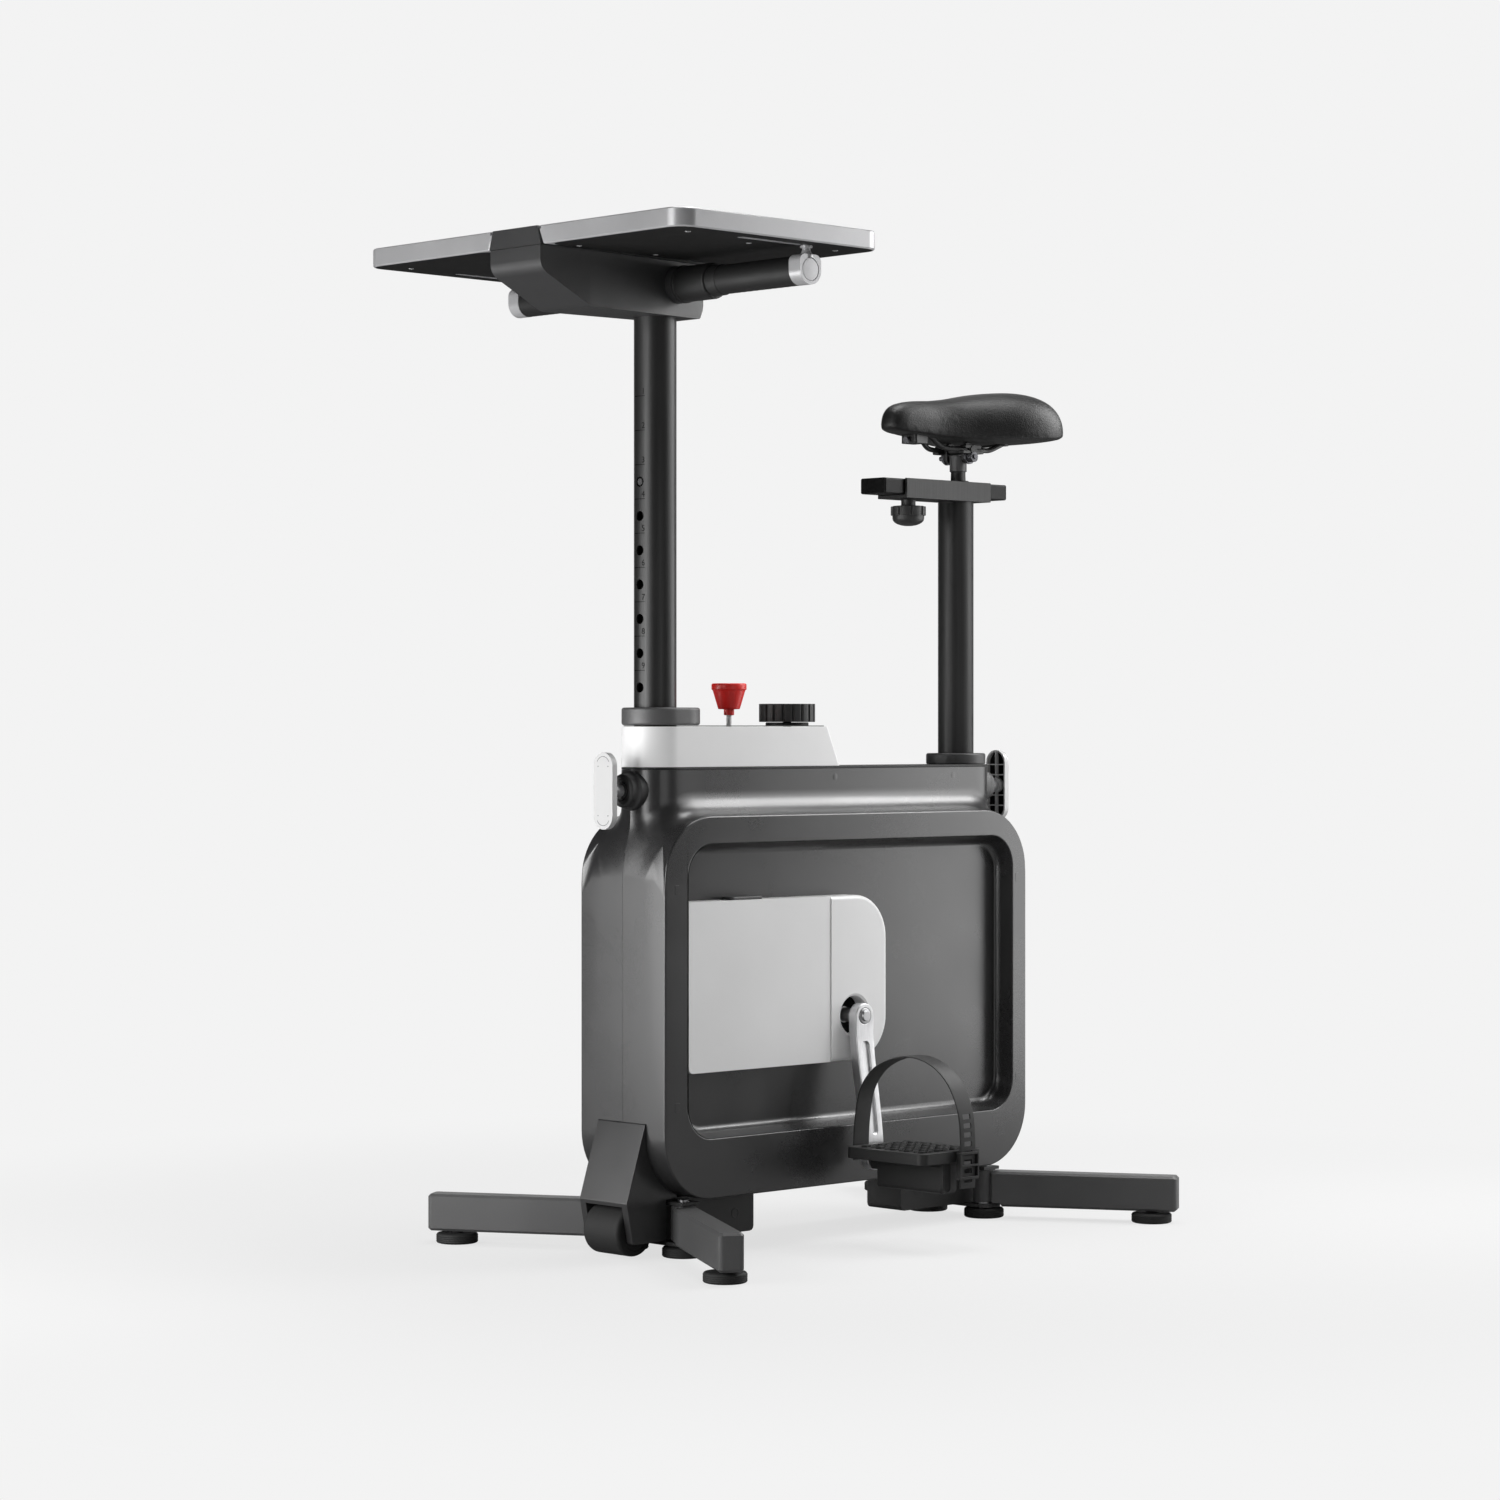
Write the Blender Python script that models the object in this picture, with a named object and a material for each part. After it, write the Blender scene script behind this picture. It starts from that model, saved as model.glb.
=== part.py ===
"""Folding exercise bike with a desk, in metres.

X runs from the desk end to the saddle end, Z is up, and the rider's left side is
at negative Y. The floor is Z = 0. A piece that comes in pairs is made on the
left side and mirrored.
"""

import math

import bmesh
import bpy
from mathutils import Matrix, Vector

# The two posts, which everything else is placed from
DESK_POST_X = -0.2193
POST_SPACING = 0.5195
SADDLE_POST_X = DESK_POST_X + POST_SPACING
DESK_POST_RADIUS = 0.025
SADDLE_POST_RADIUS = 0.0225
POST_WALL = 0.0025
HOLE_PITCH = 0.040
HOLE_RADIUS = 0.006
DESK_HOLES = 10
SADDLE_HOLES = 7

# Clearances, and how far a cutter reaches past what it cuts
GAP = 0.0003
SLIDE_GAP = 0.0004
RUNNING_GAP = 0.00015
PAST = 0.010

# Pads, legs and keels, from the floor up
PAD_RADIUS = 0.025
PAD_HEIGHT = 0.012
PAD_STEM_RADIUS = 0.007
FOOT_STEM_RADIUS = 0.012
LEG_PIVOT_Y = 0.048
LEG_ANGLE = math.radians(59.2)
LEG_LENGTH = 0.245
PAD_REACH = LEG_LENGTH - 0.033
LEG_WIDTH = 0.030
LEG_HEIGHT = 0.0438
LEG_ROOT = 0.010
LEG_RELIEF = 0.028
LEG_BOTTOM = PAD_HEIGHT + 0.0027
LEG_TOP = LEG_BOTTOM + LEG_HEIGHT
PLATE_THICKNESS = 0.0032
PLATE_HALF_LENGTH = 0.018
PLATE_BOTTOM = PAD_HEIGHT + 0.0013
PLATE_TOP = PLATE_BOTTOM + PLATE_THICKNESS
BARREL_RADIUS = 0.0145
BARREL_BOTTOM = PLATE_TOP + 0.003
BARREL_TOP = LEG_TOP + 0.001
BRIDGE_THICKNESS = 0.004
BRIDGE_HALF_LENGTH = 0.014
BRIDGE_BOTTOM = BARREL_TOP + 0.0005
BRIDGE_TOP = BRIDGE_BOTTOM + BRIDGE_THICKNESS
PIVOT_RADIUS = 0.005
KEEL_HALF_WIDTH = 0.029
KEEL_BOTTOM = PLATE_TOP
FRONT_KEEL_FRONT = DESK_POST_X - 0.020
FRONT_KEEL_REAR = DESK_POST_X + 0.133
REAR_KEEL_FRONT = SADDLE_POST_X - 0.1315
REAR_KEEL_REAR = SADDLE_POST_X + 0.0205

# Casing
BODY_OVERHANG = 0.052
BODY_BOTTOM = BRIDGE_TOP + 0.003
BODY_HEIGHT = 0.4444
BODY_TOP = BODY_BOTTOM + BODY_HEIGHT
BODY_CORNER = 0.075
BODY_HALF_WIDTH = 0.072
WALL = 0.003
NECK_HALF_WIDTH = 0.0395
NECK_RISE = 0.0536
NECK_TOP = BODY_TOP + NECK_RISE
NECK_FLARE = 0.030
NECK_HOLLOW_BOTTOM = BODY_TOP - 0.0564
RECESS_FRONT = DESK_POST_X - 0.0145
RECESS_REAR = SADDLE_POST_X + 0.026
RECESS_BOTTOM = BODY_BOTTOM + 0.070
RECESS_TOP = BODY_TOP - 0.0324
RECESS_CORNER = 0.038
RECESS_SLOPE = 0.0135
RECESS_DEPTH = 0.025
RECESS_FLOOR_Y = BODY_HALF_WIDTH - RECESS_DEPTH

# Neck plate, console and collars
NECK_PLATE_THICKNESS = 0.0027
NECK_PLATE_TOP = NECK_TOP + GAP + NECK_PLATE_THICKNESS
CONSOLE_HEIGHT = 0.0475
CONSOLE_TOP = NECK_PLATE_TOP + CONSOLE_HEIGHT
CONSOLE_LENGTH = 0.265
CONSOLE_REAR_LOW = DESK_POST_X + CONSOLE_LENGTH
CONSOLE_REAR_HIGH = CONSOLE_REAR_LOW - 0.021
CONSOLE_CORNER = 0.012
CONSOLE_PLATE = 0.001
CONSOLE_PLATE_INSET = 0.0025
COLLAR_TOP = CONSOLE_TOP + 0.0223
COLLAR_LENGTH = 0.018
COLLAR_EDGE = 0.0025
SADDLE_COLLAR_RADIUS = 0.0375
SADDLE_COLLAR_EDGE = 0.002
SADDLE_COLLAR_TOP = NECK_PLATE_TOP + 0.014

# Knobs on the console
RED_KNOB_X = DESK_POST_X + 0.1202
RED_KNOB_RADIUS = 0.021
RED_KNOB_TOP = CONSOLE_TOP + 0.0515
RED_NECK_RADIUS = 0.0062
RED_ROD_RADIUS = 0.00265
TENSION_KNOB_X = CONSOLE_REAR_LOW - 0.047
TENSION_KNOB_RADIUS = 0.034
TENSION_FLUTES = 20
TENSION_FLUTE_DEPTH = 0.0022
TENSION_STEM_RADIUS = 0.005
TENSION_BASE_RADIUS = 0.026
TENSION_BASE_TOP = CONSOLE_TOP + 0.0053
TENSION_KNOB_TOP = TENSION_BASE_TOP + 0.0222

# Crank
CRANK_BEHIND_POST = 0.260
CRANK_X = DESK_POST_X + CRANK_BEHIND_POST
CRANK_Z = RECESS_BOTTOM + 0.131
CRANK_LENGTH = 0.170
CRANK_EYE_RADIUS = 0.015
CRANK_FOOT_RADIUS = 0.0135
CRANK_THICKNESS = 0.013
CRANK_FLARE = 0.018
CRANK_BEND_START = CRANK_EYE_RADIUS + 0.007
CRANK_BEND_END = CRANK_LENGTH - CRANK_FOOT_RADIUS - 0.0065
GROOVE_TOP_RADIUS = 0.0055
GROOVE_FOOT_RADIUS = 0.0045
GROOVE_DEPTH = 0.0025
SPINDLE_RADIUS = 0.0085
SPINDLE_BOLT_RADIUS = 0.006
SPINDLE_BOLT_HEIGHT = 0.003

# Drive covers in the recess, round the crank
COVER_PROUD = 0.0012
COVER_HEIGHT = 0.1985
COVER_REAR = CRANK_X + 0.057
COVER_SEAM = CRANK_X - 0.040
COVER_BOTTOM = CRANK_Z - 0.054
COVER_TOP = COVER_BOTTOM + COVER_HEIGHT
COVER_CORNER = 0.052
COVER_FRONT_CORNER = 0.007
CRANK_HOLE_RADIUS = 0.0235
CRANK_INNER_Y = BODY_HALF_WIDTH + COVER_PROUD + 0.0043

# Pedals and straps
PEDAL_AXLE_RADIUS = 0.005
PEDAL_HALF_LENGTH = 0.049
PEDAL_SHIFT = 0.003
PEDAL_CORNER = 0.010
PEDAL_WALL = 0.003
PEDAL_WIDTH = 0.127
PEDAL_INNER_Y = CRANK_INNER_Y + CRANK_THICKNESS + CRANK_FLARE + 0.004
PEDAL_OUTER_Y = PEDAL_INNER_Y + PEDAL_WIDTH
PEDAL_BOTTOM = 0.006
PEDAL_TOP = 0.021
PEDAL_GRIP = 0.005
TREADS = 4
TREAD_PITCH = 0.0205
TREAD_WIDTH = 0.006
TREAD_DEPTH = 0.0012
TREAD_MARGIN = 0.010
HUB_DROP = 0.011
WEIGHT_HALF_LENGTH = 0.014
WEIGHT_DROP = 0.036
WEIGHT_INSET = 0.012
WEIGHT_PLATE_CORNER = 0.013
STRAP_WIDTH = 0.026
STRAP_THICKNESS = 0.002
STRAP_RISE = 0.126
STRAP_INNER_Y = PEDAL_INNER_Y - 0.0017
STRAP_OUTER_Y = PEDAL_OUTER_Y + 0.0045

# Belt drive inside the casing
FLYWHEEL_RADIUS = 0.088
FLYWHEEL_X = CRANK_X - 0.133
FLYWHEEL_Z = CRANK_Z + 0.042
FLYWHEEL_THICKNESS = 0.018
FLYWHEEL_WEB = 0.010
FLYWHEEL_RIM = 0.018
LARGE_PULLEY_RADIUS = 0.070
SMALL_PULLEY_RADIUS = 0.0175
PULLEY_Y = 0.018
PULLEY_WIDTH = 0.012
PULLEY_HUB_RADIUS = 0.018
PULLEY_HUB_LENGTH = 0.006
BELT_THICKNESS = 0.0025
BELT_GAP = 0.0012
BELT_INSET = 0.001
FLYWHEEL_Y = -PULLEY_Y
AXLE_RADIUS = 0.006

# Post receivers and the bars between them
RECEIVER_WALL = 0.003
RECEIVER_BOTTOM = BODY_BOTTOM + 0.033
RECEIVER_TOP = NECK_TOP - 0.001
BAR_HALF_WIDTH = 0.012
LOWER_BAR_HEIGHT = 0.030
LOWER_BAR_BOTTOM = RECEIVER_BOTTOM + 0.004
UPPER_BAR_HEIGHT = 0.025
UPPER_BAR_BOTTOM = FLYWHEEL_Z + FLYWHEEL_RADIUS + 0.032

# Transport wheel
WHEEL_RADIUS = 0.0290
WHEEL_X = DESK_POST_X - 0.059
WHEEL_Z = WHEEL_RADIUS + 0.0035
WHEEL_HALF_WIDTH = 0.030
WHEEL_EDGE = 0.004
WHEEL_AXLE_RADIUS = 0.005
HOUSING_HALF_WIDTH = WHEEL_HALF_WIDTH + 0.0105
HOUSING_TOP = BODY_BOTTOM + 0.090
HOUSING_BOTTOM = BODY_BOTTOM - 0.048

# Pull pins
PIN_HEIGHT = NECK_TOP - 0.024
PIN_PLATE_FACE = NECK_HALF_WIDTH + 0.0429
PIN_PLATE_THICKNESS = 0.0075
PIN_PLATE_WIDTH = 0.032
PIN_PLATE_HEIGHT = 0.089
PIN_ROD_RADIUS = 0.0068
PIN_BORE_RADIUS = PIN_ROD_RADIUS + 0.0007
PIN_TIP_RADIUS = 0.0055
PIN_TIP_LENGTH = 0.008
PIN_TIP_GAP = 0.0006
PIN_FLANGE_RADIUS = 0.0235
PIN_COLLAR_RADIUS = 0.0195
PIN_COLLAR_REACH = NECK_HALF_WIDTH + 0.0155

# Head and desk, from the underside of the desk
DESK_BOTTOM = 1.1576
DESK_THICKNESS = 0.0214
DESK_TOP = DESK_BOTTOM + DESK_THICKNESS
DESK_FRONT = DESK_POST_X - 0.216
DESK_LENGTH = 0.3185
DESK_REAR = DESK_FRONT + DESK_LENGTH
DESK_OUTER_Y = 0.2715
DESK_CORNER = 0.024
DESK_REACH = 0.100
HEAD_FRONT = DESK_FRONT - 0.0005
HEAD_REAR = DESK_POST_X + 0.057
HEAD_TOP = DESK_BOTTOM - GAP
HEAD_DEPTH = 0.0637
HEAD_BOTTOM = HEAD_TOP - HEAD_DEPTH
HEAD_NOSE_DEPTH = 0.0263
HEAD_HALF_WIDTH = 0.043
HEAD_REAR_HALF_WIDTH = 0.028
SPINE_LOW_HALF = HEAD_HALF_WIDTH + 0.001
SPINE_HIGH_HALF = SPINE_LOW_HALF - 0.0058
LEAF_GAP = 0.0028
HINGE_ROLL = 0.0028
HINGE_Y = SPINE_HIGH_HALF + 0.004
HINGE_Z = DESK_TOP - HINGE_ROLL
HINGE_PIN_RADIUS = 0.0015
LUG_LENGTH = 0.030
LUG_HALF_HEIGHT = 0.0024
FRONT_LUG_X = DESK_FRONT + 0.066
REAR_LUG_X = DESK_REAR - 0.0825
ROD_RADIUS = 0.0043
ROD_Y = SPINE_LOW_HALF + LEAF_GAP
ROD_Z = DESK_TOP - 0.012

# Handles
HANDLE_X = DESK_POST_X + 0.006
HANDLE_Z = HEAD_TOP - 0.0273
HANDLE_RADIUS = 0.017
HANDLE_BARREL_RADIUS = 0.022
HANDLE_ROOT_Y = HEAD_HALF_WIDTH
HANDLE_COLLAR_RADIUS = 0.021
HANDLE_COLLAR_Y = HANDLE_ROOT_Y + 0.052
HANDLE_RING_Y = HANDLE_COLLAR_Y + 0.016
HANDLE_END_Y = DESK_OUTER_Y - 0.0215
HANDLE_CAP_Y = HANDLE_END_Y - 0.018
SLOT_Y = HANDLE_END_Y - 0.007
SLOT_DEPTH = 0.006
GUIDE_RADIUS = 0.004
GUIDE_NECK_RADIUS = 0.0045
GUIDE_FLANGE_RADIUS = 0.007

# Heights of both posts
DESK_POST_LOW = PIN_HEIGHT - 0.071
DESK_POST_HIGH = HEAD_TOP - HEAD_NOSE_DEPTH
SADDLE_POST_LOW = PIN_HEIGHT - 0.111

# Saddle and its slider, from the underside of the channel
SLEEVE_BOTTOM = 0.8995
SLEEVE_HEIGHT = 0.0245
SLEEVE_TOP = SLEEVE_BOTTOM + SLEEVE_HEIGHT
SLEEVE_FRONT = SADDLE_POST_X - 0.1165
SLEEVE_REAR = SADDLE_POST_X + 0.0385
SLEEVE_HALF_WIDTH = 0.025
SLEEVE_WALL = 0.0036
SLEEVE_FLOOR = SLEEVE_BOTTOM + 0.004
SADDLE_POST_HIGH = SLEEVE_BOTTOM + 0.0015
SLIDER_FRONT = SADDLE_POST_X - 0.1515
SLIDER_REAR = SADDLE_POST_X + 0.0725
SLIDER_TOP = SLEEVE_TOP - 0.0013
LOCK_KNOB_X = SADDLE_POST_X - 0.0875
LOCK_KNOB_RADIUS = 0.022
LOCK_KNOB_HEIGHT = 0.0253
LOCK_KNOB_DROP = 0.0082
LOCK_LOBES = 6
LOCK_LOBE_RADIUS = 0.005
LOCK_STEM_RADIUS = 0.005
STUB_X = SADDLE_POST_X + 0.0045
STUB_RADIUS = 0.0095
STUB_SLEEVE_RADIUS = 0.011
STUB_FLANGE_RADIUS = 0.014
STUB_TOP = SLIDER_TOP + 0.0358
CLAMP_RADIUS = 0.006
CLAMP_HALF_WIDTH = 0.029
CLAMP_Z = STUB_TOP + 0.0065
RAIL_RADIUS = 0.0033
SADDLE_FRONT = SADDLE_POST_X - 0.1275
SADDLE_EDGE_SHARE = 0.14
SHELL_THICKNESS = 0.0042
SHELL_SHARE = 0.82

# The saddle cushion: distance behind its nose, half width, top and underside above the rails
SADDLE_STATIONS = (
    (0.000, 0.0050, 0.0300, 0.0200),
    (0.003, 0.0115, 0.0410, 0.0150),
    (0.009, 0.0170, 0.0480, 0.0130),
    (0.020, 0.0215, 0.0535, 0.0120),
    (0.042, 0.0260, 0.0575, 0.0115),
    (0.075, 0.0330, 0.0595, 0.0110),
    (0.108, 0.0480, 0.0630, 0.0110),
    (0.138, 0.0680, 0.0680, 0.0110),
    (0.168, 0.0870, 0.0730, 0.0110),
    (0.198, 0.0960, 0.0760, 0.0110),
    (0.222, 0.0945, 0.0750, 0.0120),
    (0.236, 0.0840, 0.0690, 0.0140),
    (0.244, 0.0680, 0.0600, 0.0170),
    (0.248, 0.0500, 0.0480, 0.0210),
)

# The toe strap's path: share of the pedal's half length, of the way across and of its rise
STRAP_PATH = (
    (-0.5714, 0.0, 0.0159), (-0.5714, 0.0, 0.1587), (-0.5306, 0.0015, 0.3968),
    (-0.4286, 0.0278, 0.6746), (-0.2857, 0.1366, 0.8730), (-0.1224, 0.3168, 0.9802),
    (0.0408, 0.5195, 1.0), (0.1633, 0.7147, 0.9206), (0.2449, 0.8724, 0.7540),
    (0.2857, 0.9700, 0.5159), (0.2857, 1.0, 0.2778), (0.2857, 1.0, 0.0397),
    (0.2857, 1.0, -0.3651),
)

# Points across half of the casing's front face
ACROSS = 4


def clear_scene():
    for thing in list(bpy.data.objects):
        bpy.data.objects.remove(thing)


def make_material(name, colour, roughness, metallic=0.0):
    material = bpy.data.materials.new(name)
    material.use_nodes = True
    shader = material.node_tree.nodes["Principled BSDF"]
    shader.inputs["Base Color"].default_value = (*colour, 1.0)
    shader.inputs["Roughness"].default_value = roughness
    shader.inputs["Metallic"].default_value = metallic
    return material


# Outlines are lists of 2-D points

def arc(centre, radius, start, end, steps):
    """Points from angle start to angle end, both in degrees."""
    points = []
    for step in range(steps + 1):
        angle = math.radians(start + (end - start) * step / steps)
        points.append((centre[0] + radius * math.cos(angle), centre[1] + radius * math.sin(angle)))
    return points


def circle(centre, radius, steps=20):
    return arc(centre, radius, 0, 360, steps)[:-1]


def rounded(corners, steps=4):
    """Outline through (x, y, radius) corners, each one rounded by its radius."""
    outline = []
    for index, (x, y, radius) in enumerate(corners):
        here = Vector((x, y))
        if radius == 0:
            outline.append((x, y))
            continue
        before = (Vector(corners[index - 1][:2]) - here).normalized()
        after = (Vector(corners[(index + 1) % len(corners)][:2]) - here).normalized()
        half = before.angle(after) / 2
        centre = here + (before + after).normalized() * radius / math.sin(half)
        start = here + before * radius / math.tan(half) - centre
        end = here + after * radius / math.tan(half) - centre
        first = math.atan2(start.y, start.x)
        turn = (math.atan2(end.y, end.x) - first + math.pi) % (2 * math.pi) - math.pi
        outline += arc(centre, radius, math.degrees(first), math.degrees(first + turn), steps)
    return outline


def rectangle(x0, x1, y0, y1, radius=0.0, steps=4):
    return rounded([(x0, y0, radius), (x1, y0, radius), (x1, y1, radius), (x0, y1, radius)], steps)


def belt_outline(first, first_radius, second, second_radius, steps=12):
    """The outline of a band drawn tight round two circles."""
    span = Vector(second) - Vector(first)
    along = math.degrees(math.atan2(span.y, span.x))
    lean = math.degrees(math.acos((first_radius - second_radius) / span.length))
    outline = arc(first, first_radius, along + lean, along + 360 - lean, steps)
    return outline + arc(second, second_radius, along - lean, along + lean, steps)


# Forms are bmeshes

def placed(axis, u, v, along):
    return {"X": (along, u, v), "Y": (u, along, v), "Z": (u, v, along)}[axis]


def prism(outline, low, high, axis):
    """The outline, in the plane across the axis, extruded from low to high."""
    form = bmesh.new()
    face = form.faces.new([form.verts.new(placed(axis, u, v, low)) for u, v in outline])
    grown = bmesh.ops.extrude_face_region(form, geom=[face])["geom"]
    moved = [part for part in grown if isinstance(part, bmesh.types.BMVert)]
    bmesh.ops.translate(form, verts=moved, vec=placed(axis, 0, 0, high - low))
    return form


def turned(profile, centre, axis, steps=20, ring=False):
    """Spins (radius, along) points about an axis. A ring's profile is a closed loop."""
    form = bmesh.new()
    centre = Vector(centre)
    out = Vector((0, 0, 1)) if axis == "X" else Vector((1, 0, 0))
    way = Vector(placed(axis, 0, 0, 1))
    verts = [form.verts.new(centre + out * radius + way * along) for radius, along in profile]
    edges = [form.edges.new(pair) for pair in zip(verts, verts[1:])]
    if ring:
        edges.append(form.edges.new((verts[-1], verts[0])))
    bmesh.ops.spin(
        form, geom=verts + edges, cent=centre, axis=way, angle=2 * math.pi, steps=steps
    )
    bmesh.ops.remove_doubles(form, verts=form.verts, dist=0.000002)
    return form


def bar_form(radius, half_length, centre, axis, steps=16):
    """A plain round bar centred on a point."""
    ends = [(0, -half_length), (radius, -half_length), (radius, half_length), (0, half_length)]
    return turned(ends, centre, axis, steps)


def bore_form(x, radius, low, high, steps=20):
    """A round upright cutter that reaches past both heights."""
    return prism(circle((x, 0), radius, steps), low - PAST, high + PAST, "Z")


def loft(rings):
    """Joins rings of equal length, and closes both ends."""
    form = bmesh.new()
    rows = [[form.verts.new(point) for point in ring] for ring in rings]
    count = len(rows[0])
    for low, high in zip(rows, rows[1:]):
        for index in range(count):
            following = (index + 1) % count
            form.faces.new((low[index], low[following], high[following], high[index]))
    form.faces.new(rows[0])
    form.faces.new(rows[-1])
    return form


def solid(name, form, material=None):
    """Makes a named object of a form, with its faces turned outwards."""
    bmesh.ops.recalc_face_normals(form, faces=form.faces)
    mesh = bpy.data.meshes.new(name)
    form.to_mesh(mesh)
    form.free()
    thing = bpy.data.objects.new(name, mesh)
    bpy.context.scene.collection.objects.link(thing)
    if material:
        mesh.materials.append(material)
    return thing


def baked(thing):
    """Puts the result of an object's modifiers in its mesh."""
    bpy.context.view_layer.update()
    graph = bpy.context.evaluated_depsgraph_get()
    mesh = bpy.data.meshes.new_from_object(thing.evaluated_get(graph))
    old = thing.data
    thing.modifiers.clear()
    thing.data = mesh
    bpy.data.meshes.remove(old)
    return thing


def combined(thing, form, operation):
    """Cuts, joins or crosses an object with a form by a Boolean."""
    tool = solid("tool", form)
    change = thing.modifiers.new(operation, "BOOLEAN")
    change.operation = operation
    change.solver = "EXACT"
    change.object = tool
    baked(thing)
    bpy.data.objects.remove(tool)
    return thing


def cut(thing, *forms):
    for form in forms:
        combined(thing, form, "DIFFERENCE")
    return thing


def joined(thing, *forms):
    for form in forms:
        combined(thing, form, "UNION")
    return thing


def crossed(thing, form):
    return combined(thing, form, "INTERSECT")


def bevelled(thing, width, segments=1, angle=40):
    change = thing.modifiers.new("Bevel", "BEVEL")
    change.width = width
    change.segments = segments
    change.limit_method = "ANGLE"
    change.angle_limit = math.radians(angle)
    return baked(thing)


def mirrored(thing, name):
    """A copy of an object on the other side of the plane Y = 0."""
    form = bmesh.new()
    form.from_mesh(thing.data)
    bmesh.ops.transform(form, matrix=Matrix.Scale(-1, 4, (0, 1, 0)), verts=form.verts)
    return solid(name, form, thing.data.materials[0])


def pair(thing):
    """Adds the right-hand twin of a piece whose name ends in left."""
    return thing, mirrored(thing, thing.name.replace("left", "right"))


# Casing

def body_station_points():
    """Left half of the neck outline and of the casing's outline, point by point."""
    inner, outer = [], []
    for step in range(ACROSS):
        y = BODY_HALF_WIDTH * step / (ACROSS - 1)
        angle = math.atan2(y, BODY_OVERHANG)
        inner.append((-NECK_HALF_WIDTH * math.cos(angle), NECK_HALF_WIDTH * math.sin(angle)))
        outer.append((-BODY_OVERHANG, y))
    for step in range(1, 7):
        x = BODY_CORNER - BODY_OVERHANG - BODY_CORNER * math.cos(math.radians(90 * step / 6))
        angle = math.atan2(BODY_HALF_WIDTH, max(-x, 0))
        start = max(x, 0)
        inner.append((start - NECK_HALF_WIDTH * math.cos(angle), NECK_HALF_WIDTH * math.sin(angle)))
        outer.append((x, BODY_HALF_WIDTH))
    ends = [(POST_SPACING - x, y) for x, y in reversed(inner)]
    far_ends = [(POST_SPACING - x, y) for x, y in reversed(outer)]
    return inner + ends, outer + far_ends


def corner_drop(x):
    """How far the rounded end of the casing falls below its flat top at x."""
    from_end = min(x, POST_SPACING - x) + BODY_OVERHANG
    if from_end >= BODY_CORNER:
        return 0.0
    return BODY_CORNER - math.sqrt(max(BODY_CORNER**2 - (BODY_CORNER - from_end) ** 2, 0))


def flare_height(distance):
    if distance >= NECK_FLARE:
        return 0.0
    return NECK_FLARE - math.sqrt(NECK_FLARE**2 - (NECK_FLARE - distance) ** 2)


def body_half():
    """The left half of the casing with its neck, before it is hollowed."""
    inner, outer = body_station_points()
    rows = [[(x, y, NECK_TOP) for x, y in inner]]
    for distance in (0, 0.002, 0.006, 0.012, 0.020, 0.030, 0.060):
        row = []
        for start, end in zip(inner, outer):
            span = Vector(end) - Vector(start)
            reach = min(distance, span.length)
            x, y = Vector(start) + span.normalized() * reach
            row.append((x, y, BODY_TOP - corner_drop(x) + flare_height(reach)))
        rows.append(row)
    rows.append([(x, y, BODY_BOTTOM + corner_drop(x)) for x, y in outer])
    rows.append([(x, 0, BODY_BOTTOM + corner_drop(x)) for x, y in outer[ACROSS:-ACROSS]])
    form = bmesh.new()
    made = []
    for row in rows:
        made.append([form.verts.new((DESK_POST_X + x, -y - GAP / 2, z)) for x, y, z in row])
    seam = made.pop()
    under = made[-1][ACROSS:-ACROSS]
    for low, high in [*zip(made, made[1:]), (under, seam)]:
        for index in range(len(low) - 1):
            form.faces.new((low[index], low[index + 1], high[index + 1], high[index]))
    form.faces.new([seam[0], under[0], *reversed(made[-1][:ACROSS])])
    form.faces.new([seam[-1], under[-1], *made[-1][-ACROSS:]])
    form.faces.new(made[0])
    bmesh.ops.remove_doubles(form, verts=form.verts, dist=0.00002)
    loose = [edge for edge in form.edges if edge.is_boundary]
    bmesh.ops.edgeloop_fill(form, edges=loose)
    return form


def recess_form(grow, mouth_y):
    """The hollow in the casing's side, grown by a margin, from its floor to the mouth."""
    rings = []
    depth = BODY_HALF_WIDTH - RECESS_FLOOR_Y
    steps = ((0.0, 0.0), (0.30, 0.04), (0.52, 0.14), (0.66, 0.32), (1.0, 1.0))
    for opened, raised in steps:
        inset = RECESS_SLOPE * (1 - opened) - grow
        y = -(RECESS_FLOOR_Y - grow + (depth + grow) * raised)
        outline = rectangle(
            RECESS_FRONT + inset,
            RECESS_REAR - inset * 0.55,
            RECESS_BOTTOM + inset,
            RECESS_TOP - inset,
            RECESS_CORNER - inset * 0.6,
        )
        rings.append([(x, y, z) for x, z in outline])
    rings.append([(x, -mouth_y, z) for x, _, z in rings[-1]])
    return loft(rings)


def casing_outline(inset):
    return rectangle(
        DESK_POST_X - BODY_OVERHANG + inset,
        SADDLE_POST_X + BODY_OVERHANG - inset,
        BODY_BOTTOM + inset,
        BODY_TOP - inset,
        BODY_CORNER - inset,
        6,
    )


def stadium(half_width, rear_x, steps=8):
    front = arc((DESK_POST_X, 0), half_width, 90, 270, steps)
    return front + arc((rear_x, 0), half_width, -90, 90, steps)


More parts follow.
